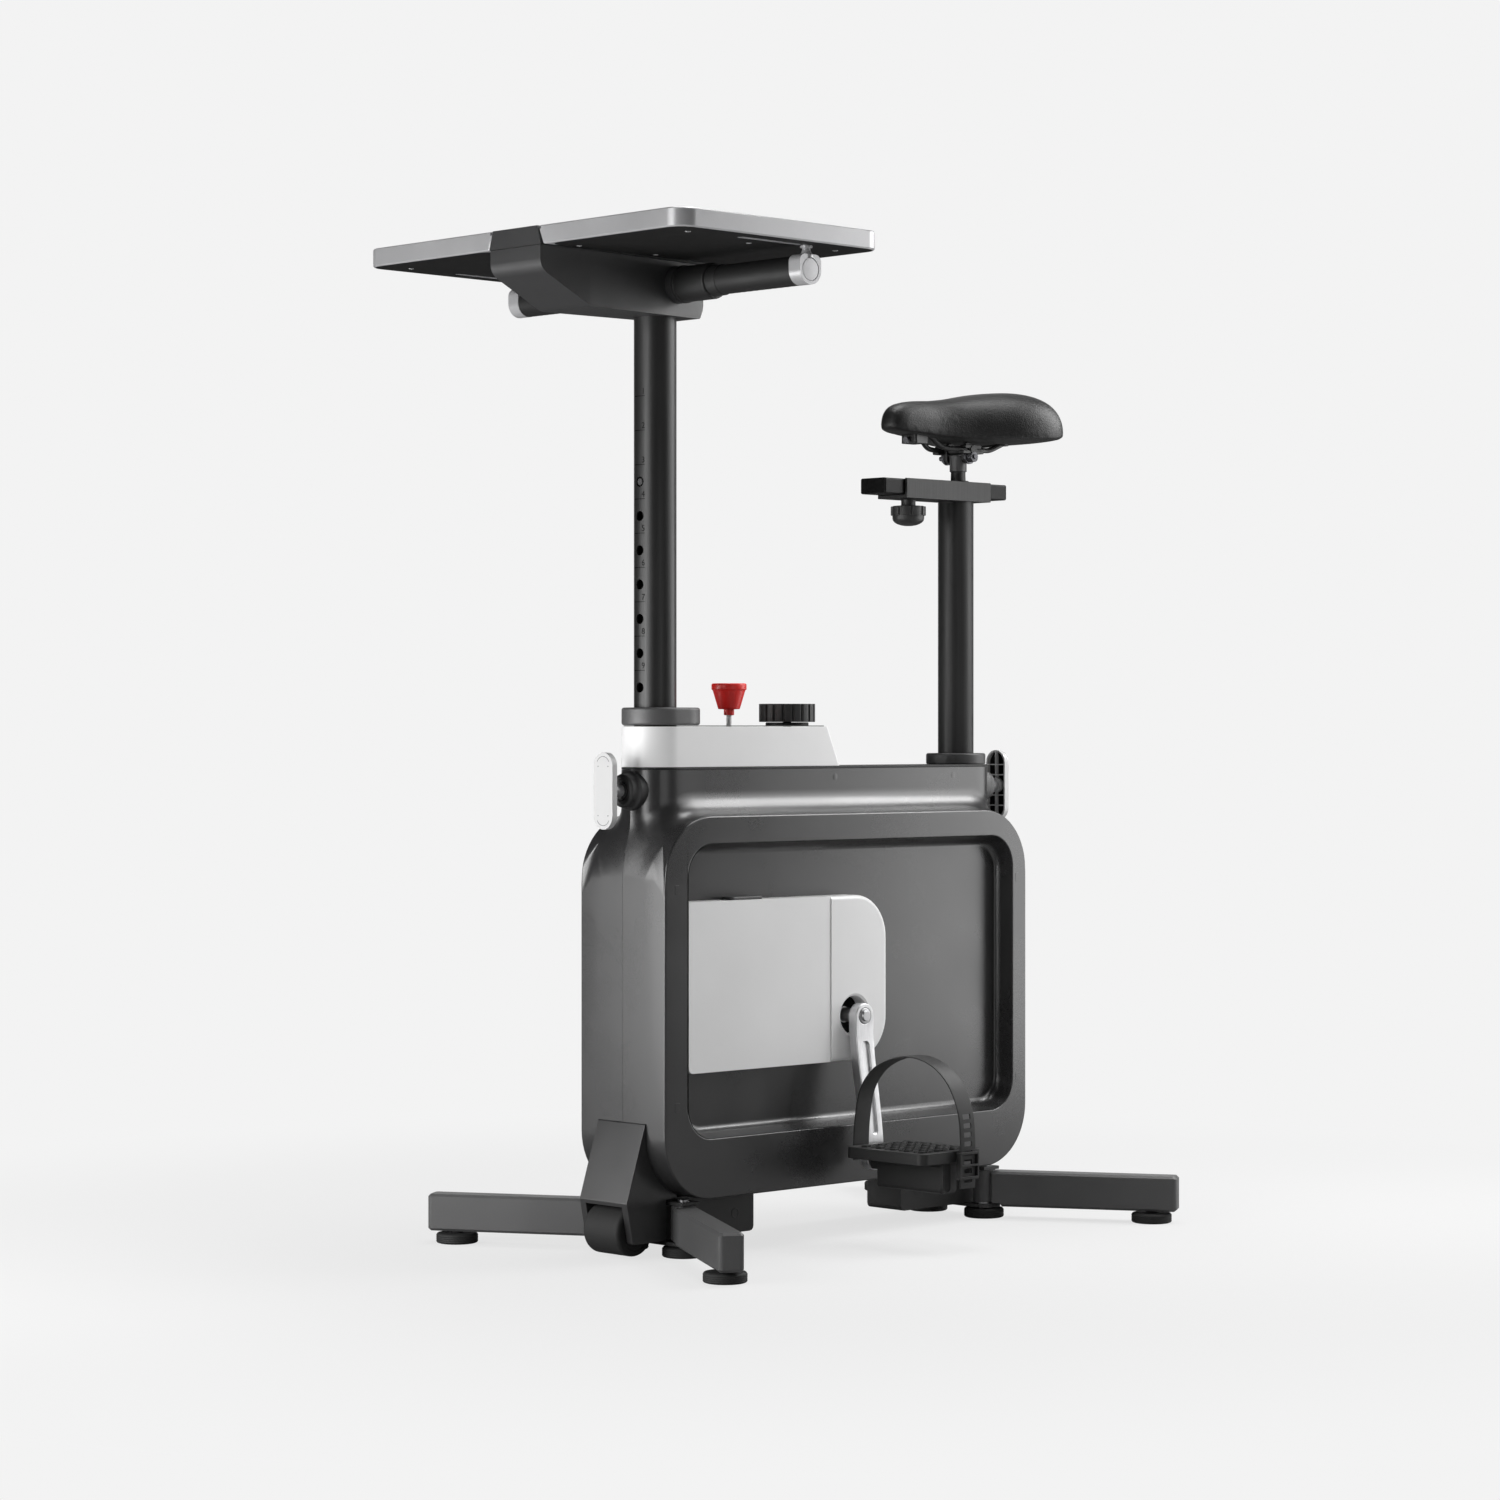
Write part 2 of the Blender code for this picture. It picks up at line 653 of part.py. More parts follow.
def make_shells(paint):
    """Two casing halves that meet at the centre seam."""
    shell = solid("frame_shell_left", body_half(), paint)
    cut(shell, recess_form(0, BODY_HALF_WIDTH + PAST))
    ring = solid("ring", prism(casing_outline(WALL), PAST, -(BODY_HALF_WIDTH - WALL), "Y"))
    keep = rectangle(
        RECESS_FRONT - WALL, RECESS_REAR + WALL, RECESS_BOTTOM - WALL, RECESS_TOP + WALL,
        RECESS_CORNER + WALL,
    )
    cut(ring, prism(keep, -(RECESS_FLOOR_Y - WALL), -(BODY_HALF_WIDTH + PAST), "Y"))
    hollow = bmesh.new()
    hollow.from_mesh(ring.data)
    bpy.data.objects.remove(ring)
    neck = stadium(NECK_HALF_WIDTH - WALL, SADDLE_POST_X)
    cut(
        shell,
        hollow,
        prism(neck, NECK_HOLLOW_BOTTOM, NECK_TOP + PAST, "Z"),
        bar_form(SPINDLE_RADIUS + 2 * GAP, BODY_HALF_WIDTH + PAST, (CRANK_X, 0, CRANK_Z), "Y", 12),
        bar_form(PIN_BORE_RADIUS, PAST, (DESK_POST_X - NECK_HALF_WIDTH, 0, PIN_HEIGHT), "X"),
        bar_form(PIN_BORE_RADIUS, PAST, (SADDLE_POST_X + NECK_HALF_WIDTH, 0, PIN_HEIGHT), "X"),
    )
    return pair(shell)


def tube_form(inner, outer, centre_x, low, high, steps=24):
    profile = [(inner, low), (outer, low), (outer, high), (inner, high)]
    return turned(profile, (centre_x, 0, 0), "Z", steps, ring=True)


def receiver_form(post_radius, centre_x):
    inner = post_radius + SLIDE_GAP
    return tube_form(inner, inner + RECEIVER_WALL, centre_x, RECEIVER_BOTTOM, RECEIVER_TOP)


def make_inner_frame(steel):
    """Two post receivers on one welded bar, hidden by the casing."""
    frame = solid("inner_frame", receiver_form(DESK_POST_RADIUS, DESK_POST_X), steel)
    joined(frame, receiver_form(SADDLE_POST_RADIUS, SADDLE_POST_X))
    reach = SLIDE_GAP + RECEIVER_WALL * 2 / 3
    bar = rectangle(
        DESK_POST_X + DESK_POST_RADIUS + reach, SADDLE_POST_X - SADDLE_POST_RADIUS - reach,
        -BAR_HALF_WIDTH, BAR_HALF_WIDTH,
    )
    joined(frame, prism(bar, LOWER_BAR_BOTTOM, LOWER_BAR_BOTTOM + LOWER_BAR_HEIGHT, "Z"))
    joined(frame, prism(bar, UPPER_BAR_BOTTOM, UPPER_BAR_BOTTOM + UPPER_BAR_HEIGHT, "Z"))
    for x in (DESK_POST_X - DESK_POST_RADIUS, SADDLE_POST_X + SADDLE_POST_RADIUS):
        cut(frame, bar_form(PIN_BORE_RADIUS, PAST, (x, 0, PIN_HEIGHT), "X"))
    return frame


def make_neck_plate(plastic):
    plate = solid(
        "neck_plate",
        prism(stadium(NECK_HALF_WIDTH, SADDLE_POST_X), NECK_TOP + GAP, NECK_PLATE_TOP, "Z"),
        plastic,
    )
    for x, radius in ((DESK_POST_X, DESK_POST_RADIUS), (SADDLE_POST_X, SADDLE_POST_RADIUS)):
        cut(plate, bore_form(x, radius + SLIDE_GAP, NECK_TOP, NECK_PLATE_TOP))
    return plate


def console_form(inset, low, high):
    """The console's outline at two heights. Its rear end leans forwards."""
    rings = []
    lean = (CONSOLE_REAR_HIGH - CONSOLE_REAR_LOW) / (CONSOLE_TOP - NECK_PLATE_TOP)
    half_width = NECK_HALF_WIDTH - inset
    corner = CONSOLE_CORNER
    for height in (low, high):
        rear = CONSOLE_REAR_LOW + lean * (height - NECK_PLATE_TOP) - inset - corner
        outline = arc((DESK_POST_X, 0), half_width, 90, 270, 10)
        outline += arc((rear, corner - half_width), corner, -90, 0, 3)
        outline += arc((rear, half_width - corner), corner, 0, 90, 3)
        rings.append([(x, y, height) for x, y in outline])
    return loft(rings)


def make_console(gloss, dark):
    """White console on the neck, with its top plate."""
    cover = solid("console_cover", console_form(0, NECK_PLATE_TOP + GAP, CONSOLE_TOP), gloss)
    low = CONSOLE_TOP + GAP
    plate = console_form(CONSOLE_PLATE_INSET, low, low + CONSOLE_PLATE)
    plate = solid("console_plate", plate, dark)
    base = circle((TENSION_KNOB_X, 0), TENSION_BASE_RADIUS)
    joined(plate, prism(base, low + CONSOLE_PLATE / 2, TENSION_BASE_TOP, "Z"))
    cut(cover, console_form(WALL, NECK_TOP, CONSOLE_TOP - WALL))
    for piece in (cover, plate):
        cut(
            piece,
            bore_form(DESK_POST_X, DESK_POST_RADIUS + SLIDE_GAP, NECK_PLATE_TOP, TENSION_BASE_TOP),
            bore_form(RED_KNOB_X, RED_ROD_RADIUS + GAP, CONSOLE_TOP, TENSION_BASE_TOP, 16),
            bore_form(TENSION_KNOB_X, TENSION_STEM_RADIUS + GAP, CONSOLE_TOP, TENSION_BASE_TOP, 16),
        )


def make_collars(dark):
    low = CONSOLE_TOP + CONSOLE_PLATE + 2 * GAP
    desk = solid(
        "desk_post_collar",
        prism(stadium(NECK_HALF_WIDTH, DESK_POST_X + COLLAR_LENGTH), low, COLLAR_TOP, "Z"),
        dark,
    )
    bevelled(desk, COLLAR_EDGE)
    cut(desk, bore_form(DESK_POST_X, DESK_POST_RADIUS + SLIDE_GAP, low, COLLAR_TOP))
    inner = SADDLE_POST_RADIUS + SLIDE_GAP
    low = NECK_PLATE_TOP + GAP
    outer = SADDLE_COLLAR_RADIUS
    profile = [
        (inner, low), (outer, low), (outer, SADDLE_COLLAR_TOP - SADDLE_COLLAR_EDGE),
        (outer - SADDLE_COLLAR_EDGE, SADDLE_COLLAR_TOP), (inner, SADDLE_COLLAR_TOP),
    ]
    solid("saddle_post_collar", turned(profile, (SADDLE_POST_X, 0, 0), "Z", 28, ring=True), dark)


def make_knobs(red, black):
    """Red push knob and fluted tension knob."""
    neck_low, wide, top = CONSOLE_TOP + 0.0135, RED_KNOB_RADIUS, RED_KNOB_TOP
    profile = [
        (0, NECK_PLATE_TOP + 0.020), (RED_ROD_RADIUS, NECK_PLATE_TOP + 0.020),
        (RED_ROD_RADIUS, neck_low), (RED_NECK_RADIUS, neck_low),
        (RED_NECK_RADIUS, neck_low + 0.0073), (wide - 0.0082, neck_low + 0.0073),
        (wide - 0.0015, top - 0.0085), (wide, top - 0.0070), (wide, top - 0.0010),
        (wide - 0.0010, top), (0, top),
    ]
    solid("red_knob", turned(profile, (RED_KNOB_X, 0, 0), "Z", 18), red)
    outline = []
    pitch = 360 / TENSION_FLUTES
    for step in range(TENSION_FLUTES):
        for share, depth in ((0, TENSION_FLUTE_DEPTH), (5 / 18, 0.0), (13 / 18, 0.0)):
            angle = math.radians(pitch * (step + share))
            radius = TENSION_KNOB_RADIUS - depth
            outline.append((TENSION_KNOB_X + radius * math.cos(angle), radius * math.sin(angle)))
    knob = solid(
        "tension_knob", prism(outline, TENSION_BASE_TOP + GAP, TENSION_KNOB_TOP, "Z"), black
    )
    stem = circle((TENSION_KNOB_X, 0), TENSION_STEM_RADIUS, 16)
    joined(knob, prism(stem, CONSOLE_TOP - 0.0155, (TENSION_BASE_TOP + TENSION_KNOB_TOP) / 2, "Z"))


def make_drive_covers(gloss):
    """The light cover in each recess: a flat front part and a rear part round the crank."""
    inner_y = -(RECESS_FLOOR_Y + GAP)
    radius = COVER_FRONT_CORNER
    front_edge = RECESS_FRONT + GAP
    outline = rounded(
        [
            (front_edge, COVER_BOTTOM, radius), (COVER_SEAM - GAP / 2, COVER_BOTTOM, 0),
            (COVER_SEAM - GAP / 2, COVER_TOP, 0), (front_edge, COVER_TOP, 0),
        ]
    )
    front = solid("drive_cover_left", prism(outline, inner_y, -BODY_HALF_WIDTH, "Y"), gloss)
    crossed(front, recess_form(-GAP, BODY_HALF_WIDTH + PAST))
    pocket = rectangle(
        RECESS_FRONT + RECESS_SLOPE + 3 * WALL, COVER_SEAM - WALL,
        COVER_BOTTOM + WALL, COVER_TOP - WALL,
    )
    cut(front, prism(pocket, 0, -(BODY_HALF_WIDTH - WALL), "Y"))
    outer_y = -(BODY_HALF_WIDTH + COVER_PROUD)
    outline = rounded(
        [
            (COVER_SEAM + GAP / 2, COVER_BOTTOM, 0), (COVER_REAR, COVER_BOTTOM, COVER_CORNER),
            (COVER_REAR, COVER_TOP, COVER_CORNER), (COVER_SEAM + GAP / 2, COVER_TOP, 0),
        ], 8,
    )
    rear = bevelled(solid("crank_cover_left", prism(outline, inner_y, outer_y, "Y"), gloss), 0.002)
    pocket = rounded(
        [
            (COVER_SEAM + WALL, COVER_BOTTOM + WALL, 0),
            (COVER_REAR - WALL, COVER_BOTTOM + WALL, COVER_CORNER - WALL),
            (COVER_REAR - WALL, COVER_TOP - WALL, COVER_CORNER - WALL),
            (COVER_SEAM + WALL, COVER_TOP - WALL, 0),
        ], 8,
    )
    hole = circle((CRANK_X, CRANK_Z), CRANK_HOLE_RADIUS, 24)
    cut(
        rear,
        prism(pocket, 0, -(BODY_HALF_WIDTH - WALL), "Y"),
        prism(hole, WALL - BODY_HALF_WIDTH + PAST, outer_y - PAST, "Y"),
    )
    pair(front)
    pair(rear)


# Crank set and the belt drive

def arm_shift(drop):
    """How far the crank arm has moved outwards at this drop below the spindle."""
    part = (drop - CRANK_BEND_START) / (CRANK_BEND_END - CRANK_BEND_START)
    return CRANK_FLARE * min(max(part, 0), 1)


def arm_form(outline, inner_y, outer_y):
    """A plate along the crank, bent outwards with arm_shift."""
    form = prism(outline, -inner_y, -outer_y, "Y")
    for drop in (CRANK_BEND_START, CRANK_BEND_END):
        bmesh.ops.bisect_plane(
            form, geom=form.verts[:] + form.edges[:] + form.faces[:],
            plane_co=(0, 0, CRANK_Z - drop), plane_no=(0, 0, 1),
        )
    for vert in form.verts:
        vert.co.y -= arm_shift(CRANK_Z - vert.co.z)
    return form


def turned_half(thing, name):
    """The twin of a crank piece: mirrored, and half a turn round the spindle."""
    twin = mirrored(thing, name)
    centre = Matrix.Translation((CRANK_X, 0, CRANK_Z))
    twin.data.transform(centre @ Matrix.Rotation(math.pi, 4, "Y") @ centre.inverted())
    return twin


def make_cranks(alloy, steel):
    outline = belt_outline(
        (CRANK_X, CRANK_Z), CRANK_EYE_RADIUS,
        (CRANK_X, CRANK_Z - CRANK_LENGTH), CRANK_FOOT_RADIUS, 10,
    )
    outer_y = CRANK_INNER_Y + CRANK_THICKNESS
    arm = solid("crank_left", arm_form(outline, CRANK_INNER_Y, outer_y), alloy)
    groove = belt_outline(
        (CRANK_X, CRANK_Z - CRANK_BEND_START - 0.014), GROOVE_TOP_RADIUS,
        (CRANK_X, CRANK_Z - CRANK_BEND_END + 0.014), GROOVE_FOOT_RADIUS, 6,
    )
    cut(
        arm,
        arm_form(groove, outer_y - GROOVE_DEPTH, outer_y + PAST),
        prism(circle((CRANK_X, CRANK_Z), SPINDLE_RADIUS + GAP, 24), 0, -outer_y - PAST, "Y"),
    )
    foot_y = CRANK_INNER_Y + CRANK_FLARE + 0.002
    axle = circle((CRANK_X, CRANK_Z - CRANK_LENGTH), PEDAL_AXLE_RADIUS, 20)
    joined(arm, prism(axle, -foot_y, -PEDAL_OUTER_Y + WEIGHT_INSET + 0.008, "Y"))
    turned_half(arm, "crank_right")
    reach = outer_y + 0.0005
    bolt, end = SPINDLE_BOLT_RADIUS, reach + SPINDLE_BOLT_HEIGHT
    profile = [
        (0, -end), (bolt, -end), (bolt, -reach), (SPINDLE_RADIUS, -reach),
        (SPINDLE_RADIUS, reach), (bolt, reach), (bolt, end), (0, end),
    ]
    spindle = solid("crank_spindle", turned(profile, (CRANK_X, 0, CRANK_Z), "Y", 16), steel)
    wheel, half = LARGE_PULLEY_RADIUS, PULLEY_WIDTH / 2
    hub, hub_end = PULLEY_HUB_RADIUS, half + PULLEY_HUB_LENGTH
    profile = [
        (0, -hub_end), (hub, -hub_end), (hub, -half), (wheel, -half),
        (wheel, half), (hub, half), (hub, hub_end), (0, hub_end),
    ]
    joined(spindle, turned(profile, (CRANK_X, PULLEY_Y, CRANK_Z), "Y", 24))


def make_belt_drive(iron, rubber):
    """The belt, and a flywheel with its small pulley on one axle."""
    wheel = LARGE_PULLEY_RADIUS
    low, high = PULLEY_Y - PULLEY_WIDTH / 2, PULLEY_Y + PULLEY_WIDTH / 2
    small = SMALL_PULLEY_RADIUS
    fly_low = FLYWHEEL_Y - FLYWHEEL_THICKNESS / 2
    fly_high = FLYWHEEL_Y + FLYWHEEL_THICKNESS / 2
    end = RECESS_FLOOR_Y - WALL - GAP
    rim, web = FLYWHEEL_RADIUS - FLYWHEEL_RIM, FLYWHEEL_WEB / 2
    profile = [
        (0, -end), (AXLE_RADIUS, -end), (AXLE_RADIUS, FLYWHEEL_Y - web),
        (rim, fly_low), (FLYWHEEL_RADIUS, fly_low), (FLYWHEEL_RADIUS, fly_high), (rim, fly_high),
        (AXLE_RADIUS, FLYWHEEL_Y + web), (AXLE_RADIUS, low), (small, low), (small, high),
        (AXLE_RADIUS, high), (AXLE_RADIUS, end), (0, end),
    ]
    solid("flywheel", turned(profile, (FLYWHEEL_X, 0, FLYWHEEL_Z), "Y", 26), iron)
    ends = ((CRANK_X, CRANK_Z), wheel, (FLYWHEEL_X, FLYWHEEL_Z), small)
    loops = []
    for grown in (BELT_GAP, BELT_GAP + BELT_THICKNESS):
        loops.append(belt_outline(ends[0], ends[1] + grown, ends[2], ends[3] + grown, 16))
    belt = solid("drive_belt", prism(loops[1], low + BELT_INSET, high - BELT_INSET, "Y"), rubber)
    cut(belt, prism(loops[0], low - PAST, high + PAST, "Y"))


def make_pedals(black, dark, rubber):
    """Pedal body, the weight that keeps it level, and the toe strap."""
    centre_z = CRANK_Z - CRANK_LENGTH
    inner, outer = PEDAL_INNER_Y, PEDAL_OUTER_Y
    left = CRANK_X - PEDAL_HALF_LENGTH - PEDAL_SHIFT
    right = CRANK_X + PEDAL_HALF_LENGTH - PEDAL_SHIFT
    top = centre_z + PEDAL_TOP
    tread = rectangle(left, right, -outer, -inner, PEDAL_CORNER, 3)
    body = solid("pedal_left", prism(tread, centre_z + PEDAL_BOTTOM, top, "Z"), black)
    bevelled(body, 0.002)
    wall = PEDAL_WALL
    skirt = rectangle(
        left + wall, right - wall, -outer + wall, -inner - wall, PEDAL_CORNER - wall * 2 / 3, 3
    )
    cut(body, prism(skirt, centre_z - PAST, top - PEDAL_GRIP, "Z"))
    block_left, block_right = CRANK_X - WEIGHT_HALF_LENGTH, CRANK_X + WEIGHT_HALF_LENGTH
    hub = rectangle(block_left, block_right, centre_z - HUB_DROP, top - 0.8 * PEDAL_GRIP, 0.003, 2)
    joined(body, prism(hub, -inner - wall / 3, -outer + WEIGHT_INSET, "Y"))
    bore = circle((CRANK_X, centre_z), PEDAL_AXLE_RADIUS + RUNNING_GAP, 20)
    cut(body, prism(bore, -inner + PAST, -outer + WEIGHT_INSET + 0.006, "Y"))
    for step in range(TREADS):
        x = left + 0.0155 + TREAD_PITCH * step
        groove = rectangle(x, x + TREAD_WIDTH, -outer + TREAD_MARGIN, -inner - TREAD_MARGIN)
        cut(body, prism(groove, top - TREAD_DEPTH, top + PAST, "Z"))
    low, high = centre_z - WEIGHT_DROP, centre_z - HUB_DROP - GAP
    block = rectangle(block_left, block_right, low, high, 0.004, 2)
    block = prism(block, -inner - WEIGHT_INSET, -outer + WEIGHT_INSET, "Y")
    weight = solid("pedal_weight_left", block, dark)
    plate = rectangle(block_left, block_right, low, centre_z + 0.003, WEIGHT_PLATE_CORNER, 5)
    plate_inner = -outer + WEIGHT_INSET - GAP
    joined(weight, prism(plate, plate_inner + GAP + 0.0001, -outer + 0.0035, "Y"))
    above = rectangle(block_left - PAST, block_right + PAST, high, top)
    cut(weight, prism(above, plate_inner, -outer + WEIGHT_INSET + PAST, "Y"))
    strap = solid("toe_strap_left", strap_form(centre_z), rubber)
    for piece in (body, weight, strap):
        twin = pair(piece)[1]
        twin.data.transform(Matrix.Translation((0, 0, 2 * CRANK_LENGTH)))


def strap_form(centre_z):
    """The toe strap's band, from the pedal's inner edge over the foot to its loose end."""
    across = STRAP_OUTER_Y - STRAP_INNER_Y
    path = [
        Vector((CRANK_X + x * PEDAL_HALF_LENGTH, -STRAP_INNER_Y - y * across, centre_z + z * STRAP_RISE))
        for x, y, z in STRAP_PATH
    ]
    half = Vector((STRAP_WIDTH / 2, 0, 0))
    rings = []
    for index, point in enumerate(path):
        along = path[min(index + 1, len(path) - 1)] - path[max(index - 1, 0)]
        out = Vector((0, -along.z, along.y)).normalized() * STRAP_THICKNESS / 2
        rings.append([point - half - out, point + half - out, point + half + out, point - half + out])
    return loft(rings)


# Feet and transport wheel

def leg_matrix(post_x, way):
    """Turns a leg drawn along +X to its open place, at the left of a post."""
    angle = math.atan2(-math.sin(LEG_ANGLE), way * math.cos(LEG_ANGLE))
    return Matrix.Translation((post_x, -LEG_PIVOT_Y, 0)) @ Matrix.Rotation(angle, 4, "Z")


def pad_form(stem_radius, stem_top, centre):
    """A round pad on the floor with the stem that holds it."""
    profile = [
        (0, 0), (PAD_RADIUS - 0.001, 0), (PAD_RADIUS, PAD_HEIGHT - 0.002),
        (PAD_RADIUS - 0.002, PAD_HEIGHT), (stem_radius, PAD_HEIGHT), (stem_radius, stem_top),
        (0, stem_top),
    ]
    return turned(profile, centre, "Z", 16)


def make_legs(paint, rubber):
    """Four swinging legs and the pad at the end of each."""
    for end, post_x, way in (("front", DESK_POST_X, -1), ("rear", SADDLE_POST_X, 1)):
        bar = rounded(
            [
                (LEG_ROOT, -LEG_WIDTH / 2, 0), (LEG_LENGTH, -LEG_WIDTH / 2, 0.006),
                (LEG_LENGTH, LEG_WIDTH / 2, 0.006), (LEG_ROOT, LEG_WIDTH / 2, 0),
            ], 3,
        )
        leg = solid(f"leg_{end}_left", prism(bar, LEG_BOTTOM, LEG_TOP, "Z"), paint)
        bevelled(leg, 0.003, 1, 60)
        cut(leg, prism(circle((0, 0), LEG_RELIEF, 12), 0.0, BARREL_BOTTOM, "Z"))
        joined(leg, prism(circle((0, 0), BARREL_RADIUS, 18), BARREL_BOTTOM, BARREL_TOP, "Z"))
        cut(leg, bore_form(0, PIVOT_RADIUS + RUNNING_GAP, BARREL_BOTTOM, BARREL_TOP, 14))
        leg.data.transform(leg_matrix(post_x, way))
        pair(leg)
        pad = pad_form(PAD_STEM_RADIUS, LEG_BOTTOM - GAP, (PAD_REACH, 0, 0))
        pad = solid(f"pad_{end}_left", pad, rubber)
        pad.data.transform(leg_matrix(post_x, way))
        pair(pad)


def make_keels(black, rubber):
    """Central keels that hold the leg pivots, and the pads below the pivots."""
    for end, post_x, front, rear in (
        ("front", DESK_POST_X, FRONT_KEEL_FRONT, FRONT_KEEL_REAR),
        ("rear", SADDLE_POST_X, REAR_KEEL_FRONT, REAR_KEEL_REAR),
    ):
        side = rounded(
            [
                (front, KEEL_BOTTOM, 0.006), (rear, KEEL_BOTTOM, 0.006),
                (rear, BODY_BOTTOM - GAP, 0), (front, BODY_BOTTOM - GAP, 0),
            ], 3,
        )
        keel = solid(f"keel_{end}", prism(side, -KEEL_HALF_WIDTH, KEEL_HALF_WIDTH, "Y"), black)
        half, reach = PLATE_HALF_LENGTH, LEG_PIVOT_Y + PLATE_HALF_LENGTH
        plate = rectangle(post_x - half, post_x + half, -reach, reach, 0.012, 4)
        joined(keel, prism(plate, PLATE_BOTTOM, PLATE_TOP + 0.001, "Z"))
        half, reach = BRIDGE_HALF_LENGTH, LEG_PIVOT_Y + BRIDGE_HALF_LENGTH - 0.001
        bridge = rectangle(post_x - half, post_x + half, -reach, reach)
        joined(keel, prism(bridge, BRIDGE_BOTTOM, BRIDGE_TOP, "Z"))
        low = (PLATE_BOTTOM + PLATE_TOP) / 2 + 0.0001
        for y in (-LEG_PIVOT_Y, LEG_PIVOT_Y):
            joined(keel, prism(circle((post_x, y), PIVOT_RADIUS, 14), low, BRIDGE_TOP - 0.001, "Z"))
        foot = pad_form(FOOT_STEM_RADIUS, PLATE_BOTTOM - GAP, (post_x, -LEG_PIVOT_Y, 0))
        pair(solid(f"foot_{end}_left", foot, rubber))


def make_wheel(paint, rubber):
    """Housing on the casing's front with the transport wheel in its mouth."""
    front, rear = DESK_POST_X - BODY_OVERHANG, DESK_POST_X - 0.003
    side = rounded(
        [
            (front - 0.0015, HOUSING_TOP, 0.002), (front - 0.0305, BODY_BOTTOM, 0.003),
            (front - 0.0280, BODY_BOTTOM - 0.011, 0.002), (front - 0.0210, HOUSING_BOTTOM, 0.003),
            (FRONT_KEEL_FRONT - GAP, HOUSING_BOTTOM, 0), (FRONT_KEEL_FRONT - GAP, BODY_BOTTOM, 0),
            (rear, BODY_BOTTOM, 0), (rear, HOUSING_TOP, 0),
        ], 3,
    )
    housing = solid(
        "wheel_housing", prism(side, -HOUSING_HALF_WIDTH, HOUSING_HALF_WIDTH, "Y"), paint
    )
    cut(housing, prism(casing_outline(-GAP), -HOUSING_HALF_WIDTH - PAST, HOUSING_HALF_WIDTH + PAST, "Y"))
    bevelled(housing, 0.002, 1, 50)
    front, rear = WHEEL_X - WHEEL_RADIUS - 0.022, WHEEL_X + WHEEL_RADIUS + 0.004
    low, high = HOUSING_BOTTOM - 0.039, WHEEL_Z + WHEEL_RADIUS + 0.001
    mouth = rounded(
        [(front, high, 0), (front, low, 0), (rear, low, 0), (rear, high, 0.010)], 4
    )
    cut(housing, prism(mouth, -WHEEL_HALF_WIDTH - 0.001, WHEEL_HALF_WIDTH + 0.001, "Y"))
    axle = circle((WHEEL_X, WHEEL_Z), WHEEL_AXLE_RADIUS, 14)
    joined(housing, prism(axle, -WHEEL_HALF_WIDTH - 0.004, WHEEL_HALF_WIDTH + 0.004, "Y"))
    inner, outer = WHEEL_AXLE_RADIUS + RUNNING_GAP, WHEEL_RADIUS
    half, edge = WHEEL_HALF_WIDTH, WHEEL_EDGE
    profile = [
        (inner, -half), (outer - edge, -half), (outer, -half + edge),
        (outer, half - edge), (outer - edge, half), (inner, half),
    ]
    solid("transport_wheel", turned(profile, (WHEEL_X, 0, WHEEL_Z), "Y", 24, ring=True), rubber)


# Posts and pull pins

def make_posts(paint):
    for name, x, radius, low, high, holes, way in (
        ("desk_post", DESK_POST_X, DESK_POST_RADIUS, DESK_POST_LOW, DESK_POST_HIGH, DESK_HOLES, -1),
        (
            "saddle_post", SADDLE_POST_X, SADDLE_POST_RADIUS, SADDLE_POST_LOW, SADDLE_POST_HIGH,
            SADDLE_HOLES, 1,
        ),
    ):
        post = solid(name, tube_form(radius - POST_WALL, radius, x, low, high, 22), paint)
        for step in range(holes):
            centre = (x + way * radius, 0, PIN_HEIGHT + HOLE_PITCH * step)
            cut(post, bar_form(HOLE_RADIUS, radius / 2, centre, "X", 8))


